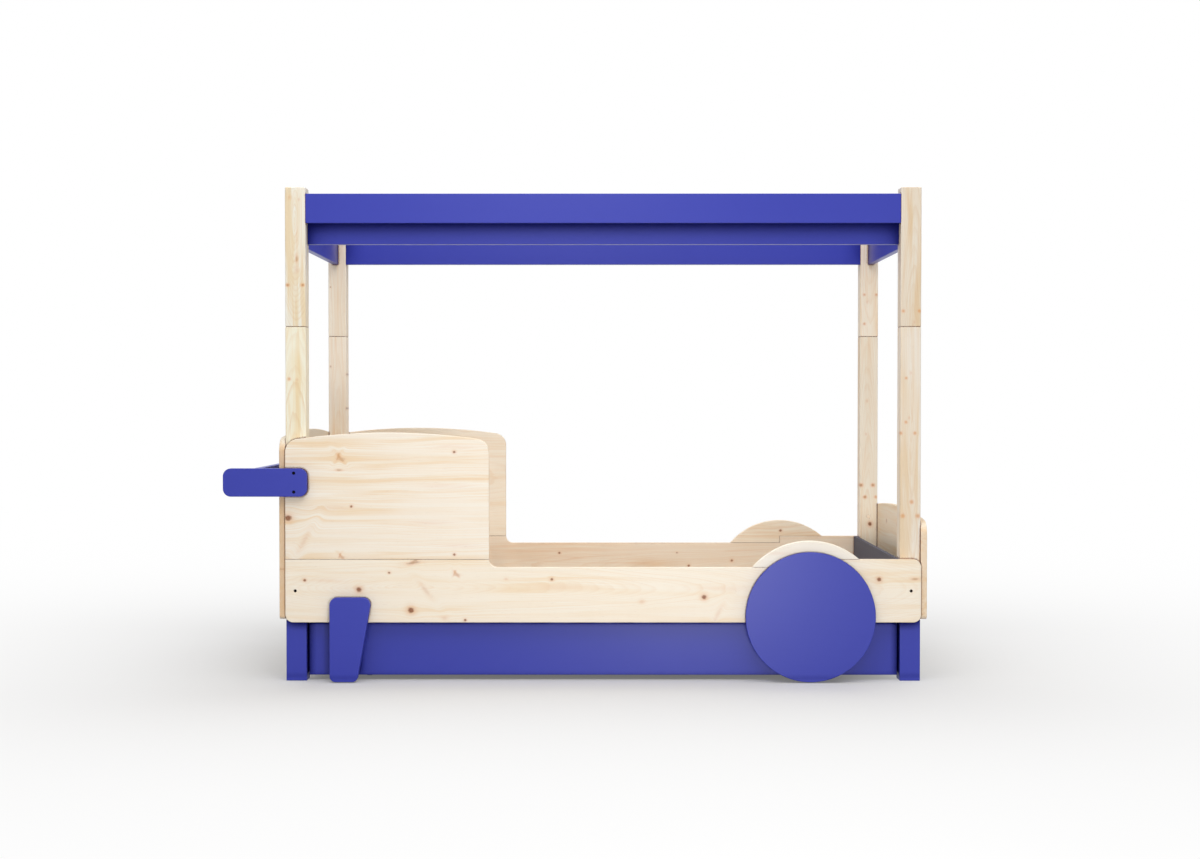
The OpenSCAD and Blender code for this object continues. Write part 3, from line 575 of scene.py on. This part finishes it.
pineBoards = {
    "hood_side_near": {**lengthways, "seed": 3.1, "cut": (0.2, 0.3, 0.02), "pink": 0.1, "deep": 0.1,
        "tint": (1.0, 1.015, 1.05), "knots": [(-0.77, 0.733, 0.0105, "feather"),
        (-0.773, 0.692, 0.003, "dash"), (-0.397, 0.751, 0.0045, "dot"),
        (-0.733, 0.573, 0.0042, "dot"), (-0.8, 0.569, 0.007, "streak"),
        (-0.939, 0.536, 0.0115, "big"), (-0.887, 0.461, 0.007, "slash"),
        (-0.397, 0.416, 0.0045, "dot"), (-0.767, 0.411, 0.0075, "feather"),
        (-0.38, 0.445, 0.006, "streak"), (-0.395, 0.768, 0.006, "streak"),
        (-0.43, 0.64, 0.008, "streak"), (-0.47, 0.52, 0.007, "streak")]},
    "side_rail_near": {**lengthways, "seed": 7.4, "cut": (0.055, 0.014, 0.085), "pink": 0.0,
        "deep": -0.2, "knots": [(-0.532, 0.389, 0.0075, "grey"), (-0.61, 0.358, 0.0042, "dot"),
        (-0.886, 0.332, 0.005, "dot"), (-0.811, 0.331, 0.006, "streak"),
        (-0.709, 0.302, 0.0095, "big"), (-0.392, 0.354, 0.0085, "feather"),
        (-0.492, 0.3, 0.006, "backslash"), (-0.539, 0.234, 0.0105, "big"),
        (-0.362, 0.202, 0.0045, "dot"), (-0.43, 0.21, 0.007, "faint"),
        (-0.079, 0.335, 0.005, "dot"), (-0.053, 0.311, 0.008, "streak"),
        (-0.228, 0.335, 0.004, "faint"), (0.418, 0.277, 0.0085, "big"),
        (0.215, 0.262, 0.006, "faint"), (0.48, 0.305, 0.007, "streak"),
        (0.463, 0.221, 0.006, "slash"), (0.989, 0.335, 0.0075, "big"),
        (1.106, 0.336, 0.004, "dash")]},
    "fender_near": {**lengthways, "seed": 1.9, "cut": (0.21, 0.05, 0.02), "pink": 0.0,
        "deep": -0.85, "tint": (1.01, 1.035, 1.06), "knots": [(0.652, 0.42, 0.0045, "streak")]},
    "hood_side_far": {**lengthways, "seed": 5.5, "cut": (0.26, 0.05, 0.03), "pink": 0.4,
        "deep": -0.1, "scatter": ((0.21, 0.12), 0.5, 0.007)},
    "side_rail_far": {**lengthways, "seed": 12.7, "cut": (0.075, -0.02, -0.06), "pink": 0.7,
        "tint": (0.97, 0.95, 0.95), "scatter": ((0.36, 0.16), 0.45, 0.006),
        "knots": [(-0.079, 0.335, 0.0048, "dot"), (0.416, 0.286, 0.005, "dot"),
        (0.581, 0.306, 0.005, "dot"), (-0.05, 0.317, 0.007, "streak")]},
    "fender_far": {**lengthways, "seed": 9.2, "cut": (0.19, 0.04, 0.02), "pink": 0.5, "deep": 0.4,
        "knots": [(0.767, 0.421, 0.0055, "dot")]},
    # painted shade, in part: beyond its end-grain tone, the front panel's end face is darkened
    # further for the shade it lies in, and the lit rear panel's end face less
    "front_panel": {**crosswise, "seed": 15.3, "cut": (0.16, 0.11, 0.035), "pink": 0.3, "end": 0.6,
        "tint": (0.85, 0.85, 0.84), "scatter": ((0.19, 0.11), 0.5, 0.009)},
    "rear_panel": {**crosswise, "seed": 21.8, "cut": (0.1, -0.03, 0.03), "deep": 0.3, "end": 0.25,
        "tint": (0.94, 0.915, 0.875), "scatter": ((0.22, 0.12), 0.5, 0.008)},
    "post_front_near": {**upright, "seed": 31.2, "cut": (0.09, 0.004, 0.06), "pink": 0.0,
        "deep": 0.5, "tint": (0.962, 1.01, 0.98), "scatter": ((0.17, 0.05), 0.35, 0.005),
        "knots": [(0.989, -0.938, 0.004, "orange"), (0.986, -0.912, 0.0035, "faint")]},
    "post_top_front_near": {**upright, "seed": 33.7, "cut": (0.052, 0.004, -0.17), "pink": 0.0,
        "deep": 0.6, "tint": (0.915, 0.975, 1.03), "knots": [(1.581, -0.935, 0.0045, "faint"),
        (1.453, -0.912, 0.0032, "streak"), (1.381, -0.912, 0.0036, "dash"),
        (1.345, -0.912, 0.006, "faint"), (1.296, -0.942, 0.004, "red"),
        (1.296, -0.893, 0.004, "red"), (1.575, -0.905, 0.003, "faint")]},
    "post_rear_near": {**upright, "seed": 41.1, "cut": (0.05, 0.004, -0.05), "pink": 0.1,
        "deep": 0.5, "tint": (0.888, 0.912, 0.965), "knots": [(1.009, 1.095, 0.0035, "faint"),
        (0.992, 1.079, 0.0032, "orange"), (0.862, 1.089, 0.0032, "faint"),
        (0.848, 1.079, 0.0036, "orange"), (0.812, 1.062, 0.004, "orange"),
        (0.812, 1.108, 0.004, "orange"), (0.587, 1.098, 0.005, "orange"),
        (0.541, 1.069, 0.005, "orange"), (0.541, 1.118, 0.005, "orange")]},
    "post_top_rear_near": {**upright, "seed": 43.9, "cut": (0.06, 0.01, 0.05), "pink": 0.1,
        "deep": 0.5, "tint": (0.825, 0.82, 0.82), "knots": [(1.211, 1.069, 0.0038, "orange"),
        (1.211, 1.121, 0.0038, "orange"), (1.175, 1.105, 0.0035, "faint")]},
    "post_rear_far": {**upright, "seed": 47.3, "cut": (0.06, -0.004, 0.05), "pink": 0.5,
        "deep": 0.3, "tint": (0.955, 0.965, 0.965), "knots": [(0.916, 1.087, 0.0035, "faint"),
        (0.791, 1.084, 0.0035, "faint"), (0.598, 1.065, 0.005, "red"), (0.598, 1.11, 0.005, "red"),
        (0.553, 1.08, 0.0048, "red"), (0.553, 1.121, 0.0042, "orange"),
        (0.451, 1.099, 0.0082, "big")]},
    "post_top_rear_far": {**upright, "seed": 51.6, "cut": (0.08, 0.006, -0.06), "pink": 0.5,
        "deep": 0.3, "knots": [(1.318, 1.076, 0.0036, "orange"), (1.318, 1.121, 0.0036, "orange"),
        (1.291, 1.087, 0.0038, "faint"), (1.208, 1.076, 0.0036, "orange")]},
    "post_front_far": {**upright, "seed": 55.2, "cut": (0.06, 0.0, 0.02), "pink": 0.4, "deep": 0.1,
        "tint": (1.03, 1.03, 1.04), "scatter": ((0.15, 0.05), 0.45, 0.005)},
    "post_top_front_far": {**upright, "seed": 58.4, "cut": (0.08, 0.004, -0.018), "pink": 0.4,
        "deep": 0.1, "scatter": ((0.13, 0.05), 0.4, 0.005)},
    "slat_ledger_near": {**ledgerWood, "seed": 61.0, "cut": (0.05, 0.0, 0.02)},
    "slat_ledger_far": {**ledgerWood, "seed": 64.0, "cut": (0.06, 0.0, 0.02)},
    "bed_slats": {**slatwise, "seed": 70.0, "cut": (0.05, 0.0, 0.02), "pink": 0.25, "deep": 0.3,
        "scatter": ((0.24, 0.07), 0.4, 0.008), "repeat": (-0.894, 0.1396)},
    "drawer_back": {**lengthways, **drawerWood, "seed": 81.0, "cut": (0.07, 0.01, 0.02)},
    "drawer_side_front": {**crosswise, **drawerWood, "seed": 83.0, "cut": (0.06, 0.02, 0.03)},
    "drawer_side_rear": {**crosswise, **drawerWood, "seed": 86.0, "cut": (0.08, 0.0, 0.025)},
    "drawer_floor": {**flatwise, "seed": 91.0, "cut": (0.3, 0.1, 0.05), "pitch": 0.006,
        "deep": 0.2},
    "drawer_bearers": {**slatwise, "seed": 95.0, "cut": (0.06, 0.0, 0.02),
        "scatter": ((0.24, 0.09), 0.4, 0.007), "repeat": (-1.2, 0.78)},
}

for name, board in pineBoards.items():
    low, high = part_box(name)
    board["middle"] = (low + high) / 2
    board["front"] = (low - high)["XYZ".index(board["into"])] / 2
    dress(name, pineMaterial("pine_" + name, board))
print("pine boards dressed:", len(pineBoards))

plainFinishes = [
    (blueLacquer, ("leg_", "roof_beam", "roof_fascia", "roof_end", "bumper_", "wheel_disc", "step_",
                   "disc_spacer", "drawer_front")),
    (slateBoard, ("end_board",)),
    (beechDowel, ("board_dowels", "roof_dowels")),
    (zincSteel, ("post_studs", "barrel_nuts", "caster_brackets", "caster_axles")),
    (blackSteel, ("frame_bolts", "arm_bolts")),
]
for material, starts in plainFinishes:
    for name in nodes:
        if name.startswith(starts):
            dress(name, material)


def middleOf(name):
    low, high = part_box(name)
    return (low + high) / 2


castorWheels = sorted(name for name in nodes if name.startswith("caster_wheel"))
for name in castorWheels:
    dress(name, castorMaterial(name.replace("caster_wheel", "castor"), middleOf(name)))
print("lacquer, slate, steel and castors dressed")


# Eased edges, which modifiers add to the CAD nodes

easeLook = {"weld": 0.00002, "flat": 0.4, "sharp": 40, "segments": 3, "smooth": 38, "weight": 80}
gripLook = {"node": "drawer_front", "width": 0.0052, "near": 0.0004}
edgeRadii = [  # the first match counts, and a node with 0 keeps its edges
    ("hood_side", 0.0022), ("side_rail", 0.0017), ("fender", 0.0024), ("front_panel", 0.0022),
    ("rear_panel", 0.0022), ("post_studs", 0.0), ("post_", 0.0030), ("leg_", 0.0016),
    ("slat_ledger", 0.0012), ("bed_slats", 0.0020), ("drawer_front", 0.0018),
    ("drawer_floor", 0.0006), ("drawer_", 0.0012), ("roof_beam", 0.0015),
    ("roof_fascia", 0.0015), ("roof_end", 0.0015), ("bumper_", 0.0018), ("wheel_disc", 0.0022),
    ("step_", 0.0020), ("disc_spacer", 0.0015), ("end_board", 0.0008),
]


def newMeshGroup(name):
    mesh = {"Geometry": "Geometry"}
    tree, given, out = newGroup("GeometryNodeTree", name, mesh, mesh)
    angle = tree.nodes.new("GeometryNodeInputMeshEdgeAngle").outputs["Unsigned Angle"]
    return tree, given[0], out[0], angle


def makeSmoothing():
    tree, start, end, angle = newMeshGroup("smoothFaces")
    bare = addNode(tree, "GeometryNodeRemoveAttribute", {
        "Geometry": start, "Name": "custom_normal"})
    faces = addNode(tree, "GeometryNodeSetShadeSmooth", {
        "Geometry": bare.outputs[0]}, domain="FACE")
    soft = addNode(tree, "FunctionNodeCompare", {0: angle, 1: math.radians(easeLook["smooth"])},
                   operation="LESS_THAN")
    edges = addNode(tree, "GeometryNodeSetShadeSmooth",
                    {"Geometry": faces.outputs[0], "Shade Smooth": soft.outputs[0]}, domain="EDGE")
    feed(end, edges.outputs[0])
    return tree


def makeGripWeights(width):
    # the upper outer edge gets the full weight, the other edges the share that keeps their radius
    look = gripLook
    tree, start, end, angle = newMeshGroup("gripWeights")
    low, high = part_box(look["node"])
    y, z = splitXyz(tree.nodes.new("GeometryNodeInputPosition").outputs[0])[1:]
    sharp = sums("GREATER_THAN", angle, math.radians(easeLook["sharp"]))
    upper = sums("GREATER_THAN", z, high.z - look["near"])
    outer = sums("LESS_THAN", y, low.y + look["near"])
    share = width / look["width"]
    weight = times(scaleAdd(times(upper, outer), 1 - share, share), sharp)
    stored = addNode(tree, "GeometryNodeStoreNamedAttribute", {
        "Geometry": start, "Name": "bevel_weight_edge", "Value": weight,
    }, data_type="FLOAT", domain="EDGE")
    feed(end, stored.outputs[0])
    return tree


smoothFaces = makeSmoothing()


def easeEdges(piece, width):
    look = easeLook
    piece.modifiers.new("weld", "WELD").merge_threshold = look["weld"]
    flat = piece.modifiers.new("flat", "DECIMATE")
    flat.decimate_type = "DISSOLVE"
    flat.angle_limit = math.radians(look["flat"])
    limit = "ANGLE"
    if piece.name == gripLook["node"]:
        piece.modifiers.new("grip", "NODES").node_group = makeGripWeights(width)
        limit, width = "WEIGHT", gripLook["width"]
    bevel = piece.modifiers.new("ease", "BEVEL")
    bevel.segments = look["segments"]
    bevel.limit_method = limit
    bevel.width = width
    bevel.angle_limit = math.radians(look["sharp"])
    bevel.use_clamp_overlap = False
    piece.modifiers.new("smooth", "NODES").node_group = smoothFaces
    weighted = piece.modifiers.new("weighted", "WEIGHTED_NORMAL")
    weighted.keep_sharp = True
    weighted.weight = look["weight"]


for name, piece in nodes.items():
    width = next((width for start, width in edgeRadii if name.startswith(start)), 0.0)
    if width:
        easeEdges(piece, width)
print("edges eased")


# Small pieces made as meshes

def newObject(name, data):
    thing = bpy.data.objects.new(name, data)
    scene.collection.objects.link(thing)
    return thing


def finishPiece(name, mesh, body, material):
    bmesh.ops.recalc_face_normals(mesh, faces=mesh.faces)
    data = bpy.data.meshes.new(name)
    mesh.to_mesh(data)
    mesh.free()
    piece = newObject(name, data)
    data.materials.append(material)
    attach(piece, body)
    return piece


def circle(radius, sides):
    turns = [2 * math.pi * i / sides for i in range(sides)]
    return [(radius * math.cos(turn), radius * math.sin(turn)) for turn in turns]


def joinRings(mesh, rings, capped=False):
    for lower, upper in zip(rings, rings[1:]):
        for i in range(len(lower)):
            j = (i + 1) % len(lower)
            mesh.faces.new((lower[i], lower[j], upper[j], upper[i]))
    if capped:
        mesh.faces.new(rings[0][::-1])
        mesh.faces.new(rings[-1])


def spread(low, high, count):
    return [low + (high - low) * i / (count - 1) for i in range(count)]


screwLook = {"head": 0.0042, "slot": 0.0022, "arm": 0.0006, "deep": 0.0012, "proud": 0.0004,
             "cone": 0.0026, "tip": 0.45, "rim": 0.6, "top": 0.93, "pit": 0.8, "sides": 24}


def addScrew(mesh, place, outward, size, turn):
    # countersunk head with a cross recess; its rim stands just proud of the board
    look = screwLook
    basis = Vector(outward).to_track_quat("Z", "Y").to_matrix().to_4x4()
    spot = (Matrix.Translation(Vector(place)) @ basis
            @ Matrix.Rotation(turn, 4, "Z") @ Matrix.Scale(size, 4))
    long, arm, sides = look["slot"], look["arm"], look["sides"]
    cross = [(long, arm), (arm, arm), (arm, long), (-arm, long), (-arm, arm), (-long, arm),
             (-long, -arm), (-arm, -arm), (-arm, -long), (arm, -long), (arm, -arm), (long, -arm)]

    def loop(points, z):
        return [mesh.verts.new(spot @ Vector((x, y, z))) for x, y in points]

    tip, side, rim, top = [loop(circle(look["head"] * share, sides), z) for share, z in (
        (look["tip"], -look["cone"]), (1.0, 0.0), (1.0, look["proud"] * look["rim"]),
        (look["top"], look["proud"]))]
    mouth = loop(cross, look["proud"])
    pit = loop([(x * look["pit"], y * look["pit"]) for x, y in cross], look["proud"] - look["deep"])
    mesh.faces.new(tip[::-1])
    joinRings(mesh, [tip, side, rim, top])
    # the flat top: a quarter of the rim at a time, down to the cross
    quarter = sides // 4
    for q in range(4):
        inner = [mouth[(3 * q + k) % len(cross)] for k in range(4)]
        outer = [top[(quarter * q + k) % sides] for k in range(quarter + 1)]
        mesh.faces.new(outer + inner[::-1])
    joinRings(mesh, [pit, mouth])
    mesh.faces.new(pit)


def screwSet(name, body, places, size=1.0):
    mesh = bmesh.new()
    spin = random.Random(name)
    for place, outward in places:
        addScrew(mesh, place, outward, size, spin.uniform(0, math.pi))
    finishPiece(name, mesh, body, zincSteel)


screwPlaces = {
    "ledger": {"count": 9, "endGap": 0.075},
    "endBoard": {"endGap": 0.045, "heights": (0.035, 0.077), "size": 0.9},
    "slat": {"endGap": 0.014, "edgeGaps": (0.02, 0.05), "size": 0.95},
    "drawer": {"heights": (0.06, 0.11, 0.16)},
    "block": {"edgeGap": 0.022, "size": 1.05},
    "castor": {"plate": (0.060, 0.048, 0.002), "edgeGap": 0.007, "size": 0.9},
}


def ledgerScrews():
    look = screwPlaces["ledger"]
    places = []
    for name, outward in (("slat_ledger_near", 1), ("slat_ledger_far", -1)):
        low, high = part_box(name)
        face = high.y if outward > 0 else low.y
        for x in spread(low.x + look["endGap"], high.x - look["endGap"], look["count"]):
            places.append(((x, face, (low.z + high.z) / 2), (0, outward, 0)))
    screwSet("ledgerScrews", "bed_frame", places)


def endBoardScrews():
    look = screwPlaces["endBoard"]
    places = []
    for name, outward in (("end_board_front", 1), ("end_board_rear", -1)):
        low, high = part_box(name)
        face = high.x if outward > 0 else low.x
        for y in (low.y + look["endGap"], high.y - look["endGap"]):
            places += [((face, y, low.z + height), (outward, 0, 0)) for height in look["heights"]]
    screwSet("endBoardScrews", "bed_frame", places, look["size"])


def slatScrews():
    look = screwPlaces["slat"]
    low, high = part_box("bed_slats")
    first, second = look["edgeGaps"]
    places = [((x, y, high.z), (0, 0, 1))
              for x in (low.x + first, low.x + second, high.x - second, high.x - first)
              for y in (low.y + look["endGap"], high.y - look["endGap"])]
    screwSet("slatScrews", "bed_frame", places, look["size"])


def drawerScrews():
    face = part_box("drawer_back")[1].y
    places = [((middleOf(name).x, face, height), (0, 1, 0))
              for name in ("drawer_side_front", "drawer_side_rear")
              for height in screwPlaces["drawer"]["heights"]]
    screwSet("drawerScrews", "drawer", places)


def blockScrews():
    # the near disc and step hang on blocks that are screwed on through the drawer front
    look = screwPlaces["block"]
    gap = look["edgeGap"]
    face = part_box("drawer_front")[1].y
    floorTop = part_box("drawer_floor")[1].z
    places = []
    for name in ("disc_spacer", "step_spacer"):
        low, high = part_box(name)
        places += [((x, face, z), (0, 1, 0)) for x in (low.x + gap, high.x - gap)
                   for z in (floorTop + gap, high.z - gap)]
    screwSet("blockScrews", "drawer", places, look["size"])


def castorScrews():
    look = screwPlaces["castor"]
    long, wide, thick = look["plate"]
    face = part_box("caster_brackets")[1].z - thick
    places = []
    for hub in map(middleOf, castorWheels):
        places += [((hub.x + x * (long / 2 - look["edgeGap"]),
                     hub.y + y * (wide / 2 - look["edgeGap"]), face), (0, 0, -1))
                   for x in (-1, 1) for y in (-1, 1)]
    screwSet("castorScrews", "drawer", places, look["size"])


plugLook = {"deep": 0.008, "under": 0.00004, "ease": 0.0006, "play": 0.0001, "gap": 0.00065,
            "sides": 32, "foot": 0.92, "arc": (0, 15, 30, 45, 60, 75), "top": (0.6, 0.25),
            "cut": (0.06, 0.0, 0.02)}


def islandsOf(name):
    # the boxes of a node's separate solids
    mesh = bmesh.new()
    mesh.from_mesh(nodes[name].data)
    bmesh.ops.remove_doubles(mesh, verts=mesh.verts, dist=easeLook["weld"])
    left = set(mesh.verts)
    boxes = []
    while left:
        reached, fresh = set(), [min(left, key=lambda v: v.index)]
        while fresh:
            vert = fresh.pop()
            if vert not in reached:
                reached.add(vert)
                fresh += [edge.other_vert(vert) for edge in vert.link_edges]
        left -= reached
        places = [vert.co for vert in reached]
        boxes.append((Vector(map(min, zip(*places))), Vector(map(max, zip(*places)))))
    mesh.free()
    return sorted(boxes, key=lambda box: tuple(box[0]))


def nutPlugs():
    # turned pine plugs close the nuts' bores, and their heads fill the eased mouths
    look = plugLook
    flare = dict(edgeRadii)["post_"]
    low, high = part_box("post_front_near")
    half = (high - low) / 2
    mesh = bmesh.new()
    for start, end in islandsOf("barrel_nuts"):
        middle, size = (start + end) / 2, end - start
        axis = 0 if size.x > size.y else 1
        inward = Vector((0, 0, 0))
        inward[axis] = -1 if middle[axis] > 0 else 1
        mouth = middle + inward * (half[axis] - look["under"])
        spot = Matrix.Translation(mouth) @ inward.to_track_quat("Z", "Y").to_matrix().to_4x4()
        radius = size.z / 2 + look["play"]
        profile = [(radius * look["foot"], -look["deep"]), (radius, look["ease"] - look["deep"])]
        for turn in map(math.radians, look["arc"]):
            profile.append((radius + flare * (1 - math.cos(turn)) - look["gap"],
                            -flare * (1 - math.sin(turn))))
        profile.append((radius + flare - look["gap"] - look["ease"], 0.0))
        profile += [(radius * share, 0.0) for share in look["top"]]
        joinRings(mesh, [[mesh.verts.new(spot @ Vector((x, y, z)))
                          for x, y in circle(r, look["sides"])] for r, z in profile], capped=True)
    plugWood = pineMaterial("pine_plugs", {**lengthways, "seed": 97.0, "cut": look["cut"],
                                           "middle": (0, 0, 0), "pink": 0.3, "deep": 0.2})
    finishPiece("nutPlugs", mesh, "bed_frame", plugWood)


nutPlugs()
ledgerScrews()
endBoardScrews()
slatScrews()
drawerScrews()
blockScrews()
castorScrews()
print("screws placed")


tapeLook = {"width": 0.024, "gap": 0.00005, "sag": 0.0022, "round": 1.3, "thick": 0.0009,
            "perSlat": 6, "perGap": 10, "hem": 0.0016, "edge": (0.35, 0.86), "step": 0.001}


def slatEdges():
    # the slats' lowest and highest x, read from the node, in order
    xs = sorted(v.co.x for v in nodes["bed_slats"].data.vertices)
    edges = [xs[0]]
    for x in xs:
        if x - edges[-1] > tapeLook["step"]:
            edges.append(x)
    return list(zip(edges[::2], edges[1::2]))


def tape(name, y, slats):
    # a woven band under the slats: flat where it is stapled, with a slight sag between them
    look = tapeLook
    width = look["width"]
    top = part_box("bed_slats")[0].z - look["gap"]
    line = []
    for i, (start, end) in enumerate(slats):
        line += [(x, 0.0) for x in spread(start, end, look["perSlat"])]
        if i + 1 < len(slats):
            for share in (k / look["perGap"] for k in range(1, look["perGap"])):
                line.append((end + (slats[i + 1][0] - end) * share,
                             -look["sag"] * math.sin(math.pi * share) ** look["round"]))
    hem, (upperEdge, lowerEdge) = look["hem"] / width, look["edge"]
    section = [(-0.5, upperEdge), (hem - 0.5, 0.0), (0.0, 0.0), (0.5 - hem, 0.0), (0.5, upperEdge),
               (0.5, lowerEdge), (0.5 - hem, 1.0), (0.0, 1.0), (hem - 0.5, 1.0), (-0.5, lowerEdge)]
    mesh = bmesh.new()
    joinRings(mesh, [[mesh.verts.new((x, y + side * width, top + z - down * look["thick"]))
                      for side, down in section] for x, z in line], capped=True)
    for face in mesh.faces:
        face.smooth = True
    piece = finishPiece(name, mesh, "bed_frame", webbing)
    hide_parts("slat_tapes")


stapleLook = {"wire": 0.0006, "crown": 0.0095, "drop": 0.0014, "bend": (0.0008, 0.0005), "sides": 8,
              "places": (0.25, 0.75)}


def staples(name, y, slats):
    # two wire staples across the band on each slat, each with two bent shoulders
    look = stapleLook
    mesh = bmesh.new()
    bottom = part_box("bed_slats")[0].z - tapeLook["gap"] - tapeLook["thick"]
    half, (inset, below) = look["crown"] / 2, look["bend"]
    path = [(-half, look["drop"]), (-half, 0.0), (inset - half, -below),
            (half - inset, -below), (half, 0.0), (half, look["drop"])]
    out = Vector((1, 0, 0))
    for start, end in slats:
        for x in (start + (end - start) * share for share in look["places"]):
            rings = []
            for k, (a, z) in enumerate(path):
                before, after = path[max(k - 1, 0)], path[min(k + 1, len(path) - 1)]
                along = Vector((0, after[0] - before[0], after[1] - before[1])).normalized()
                other = along.cross(out)
                centre = Vector((x, y + a, bottom + z))
                rings.append([mesh.verts.new(centre + out * u + other * v)
                              for u, v in circle(look["wire"], look["sides"])])
            joinRings(mesh, rings, capped=True)
    finishPiece(name, mesh, "bed_frame", zincSteel)


slats = slatEdges()
tapeLow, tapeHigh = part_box("slat_tapes")
tapeLines = {"Near": tapeLow.y + tapeLook["width"] / 2, "Far": tapeHigh.y - tapeLook["width"] / 2}
for make, start in ((tape, "tape"), (staples, "staples")):
    for side, y in tapeLines.items():
        make(start + side, y, slats)
print("webbing and staples made on", len(slats), "slats")


# Studio: a pale floor that fades to white, a soft sky and five lamps

studio = {
    "floorSize": 60.0, "floorDown": 0.0004, "floorGrey": 0.42, "floorSeen": (0.628, 0.616, 0.601),
    "clearFrom": (0.85, 0.60), "clearRate": -1.3, "shadeKept": 0.86,
    "sky": (0.41, 0.56),  # at the horizon and from skyTop up
    "skyTop": 0.9,
    "lamps": {  # place, aim, size and power
        "topLamp": ((0.1, -0.6, 4.6), (0.1, -0.6, 0.0), 6.0, 88.0),
        "frontLamp": ((0.1, -2.4, 4.6), (0.1, -0.3, 0.4), 4.0, 76.0),
        "keyLamp": ((-0.12, -2.0, 2.2), (-0.12, -0.45, 0.9), 1.0, 5.1),
        "lowLamp": ((0.52, -3.6, 0.30), (0.42, -0.4, 0.34), 0.50, 24.5),
        "sideLamp": ((-0.76, -3.6, 0.62), (-0.80, -0.4, 0.50), 0.60, 3.2),
    },
}


def seenShare(tree):
    # 1 for what the camera sees, straight or in a gloss, 0 for light that only bounces
    rays = addNode(tree, "ShaderNodeLightPath").outputs
    return sums("MAXIMUM", rays["Is Camera Ray"],
                sums("MAXIMUM", rays["Is Glossy Ray"], rays["Is Transmission Ray"]))


def buildFloor():
    look = studio
    half = look["floorSize"] / 2
    mesh = bmesh.new()
    mesh.faces.new([mesh.verts.new((x * half, y * half, -look["floorDown"]))
                    for x, y in ((-1, -1), (1, -1), (1, 1), (-1, 1))])
    data = bpy.data.meshes.new("studioFloor")
    mesh.to_mesh(data)
    mesh.free()
    floor = newObject("studioFloor", data)
    material, place = newMaterial("studioFloor", level=0.0, Roughness=0.9)
    tree = treeOf(place)
    seen = seenShare(tree)
    grey = look["floorGrey"]
    setShader(material, Base_Color=blend(seen, (grey, grey, grey, 1), (*look["floorSeen"], 1)))
    # away from the object the floor clears to white
    beyond = [sums("MAXIMUM", minus(sums("ABSOLUTE", part), start), 0.0)
              for part, start in zip(splitXyz(place), look["clearFrom"])]
    away = vectors("LENGTH", joinXyz(*beyond))
    kept = sums("EXPONENT", times(away, look["clearRate"]))
    far = scaleAdd(kept, -look["shadeKept"], 1.0)
    white = addNode(tree, "ShaderNodeEmission", {"Color": (1, 1, 1, 1), "Strength": 1.0}).outputs[0]
    mixed = addNode(tree, "ShaderNodeMixShader", {
        0: times(seen, far), 1: tree.nodes["Principled BSDF"].outputs[0], 2: white}).outputs[0]
    feed(tree.nodes["Material Output"].inputs["Surface"], mixed)
    data.materials.append(material)


def buildWorld():
    world = bpy.data.worlds.new("studioSky")
    scene.world = world
    world.use_nodes = True
    tree = world.node_tree
    height = splitXyz(addNode(tree, "ShaderNodeTexCoord").outputs["Generated"])[2]
    lit = rescale(height, 0.0, studio["skyTop"], *studio["sky"])
    background = tree.nodes["Background"].inputs
    feed(background["Strength"], sums("MAXIMUM", lit, seenShare(tree)))
    feed(background["Color"], (1, 1, 1, 1))


def buildLamps():
    for name, (place, target, size, power) in studio["lamps"].items():
        lamp = bpy.data.lights.new(name, "AREA")
        lamp.shape = "SQUARE"
        lamp.size = size
        lamp.energy = power
        holder = newObject(name, lamp)
        holder.location = place
        holder.rotation_euler = (Vector(target) - Vector(place)).to_track_quat("-Z", "Y").to_euler()


cameraLook = {"lens": 50.0, "sensor": 36.0, "place": (0.0885, -5.9075, 0.922), "pitch": -1.031,
              "yaw": 0.107}


def buildCamera():
    look = cameraLook
    data = bpy.data.cameras.new("photoCamera")
    data.lens = look["lens"]
    data.sensor_width = look["sensor"]
    camera = newObject("photoCamera", data)
    camera.location = look["place"]
    camera.rotation_euler = (math.radians(90 + look["pitch"]), 0, math.radians(look["yaw"]))
    scene.camera = camera


buildFloor()
buildWorld()
buildLamps()
buildCamera()
scene.view_settings.view_transform = "Standard"
print("studio ready")
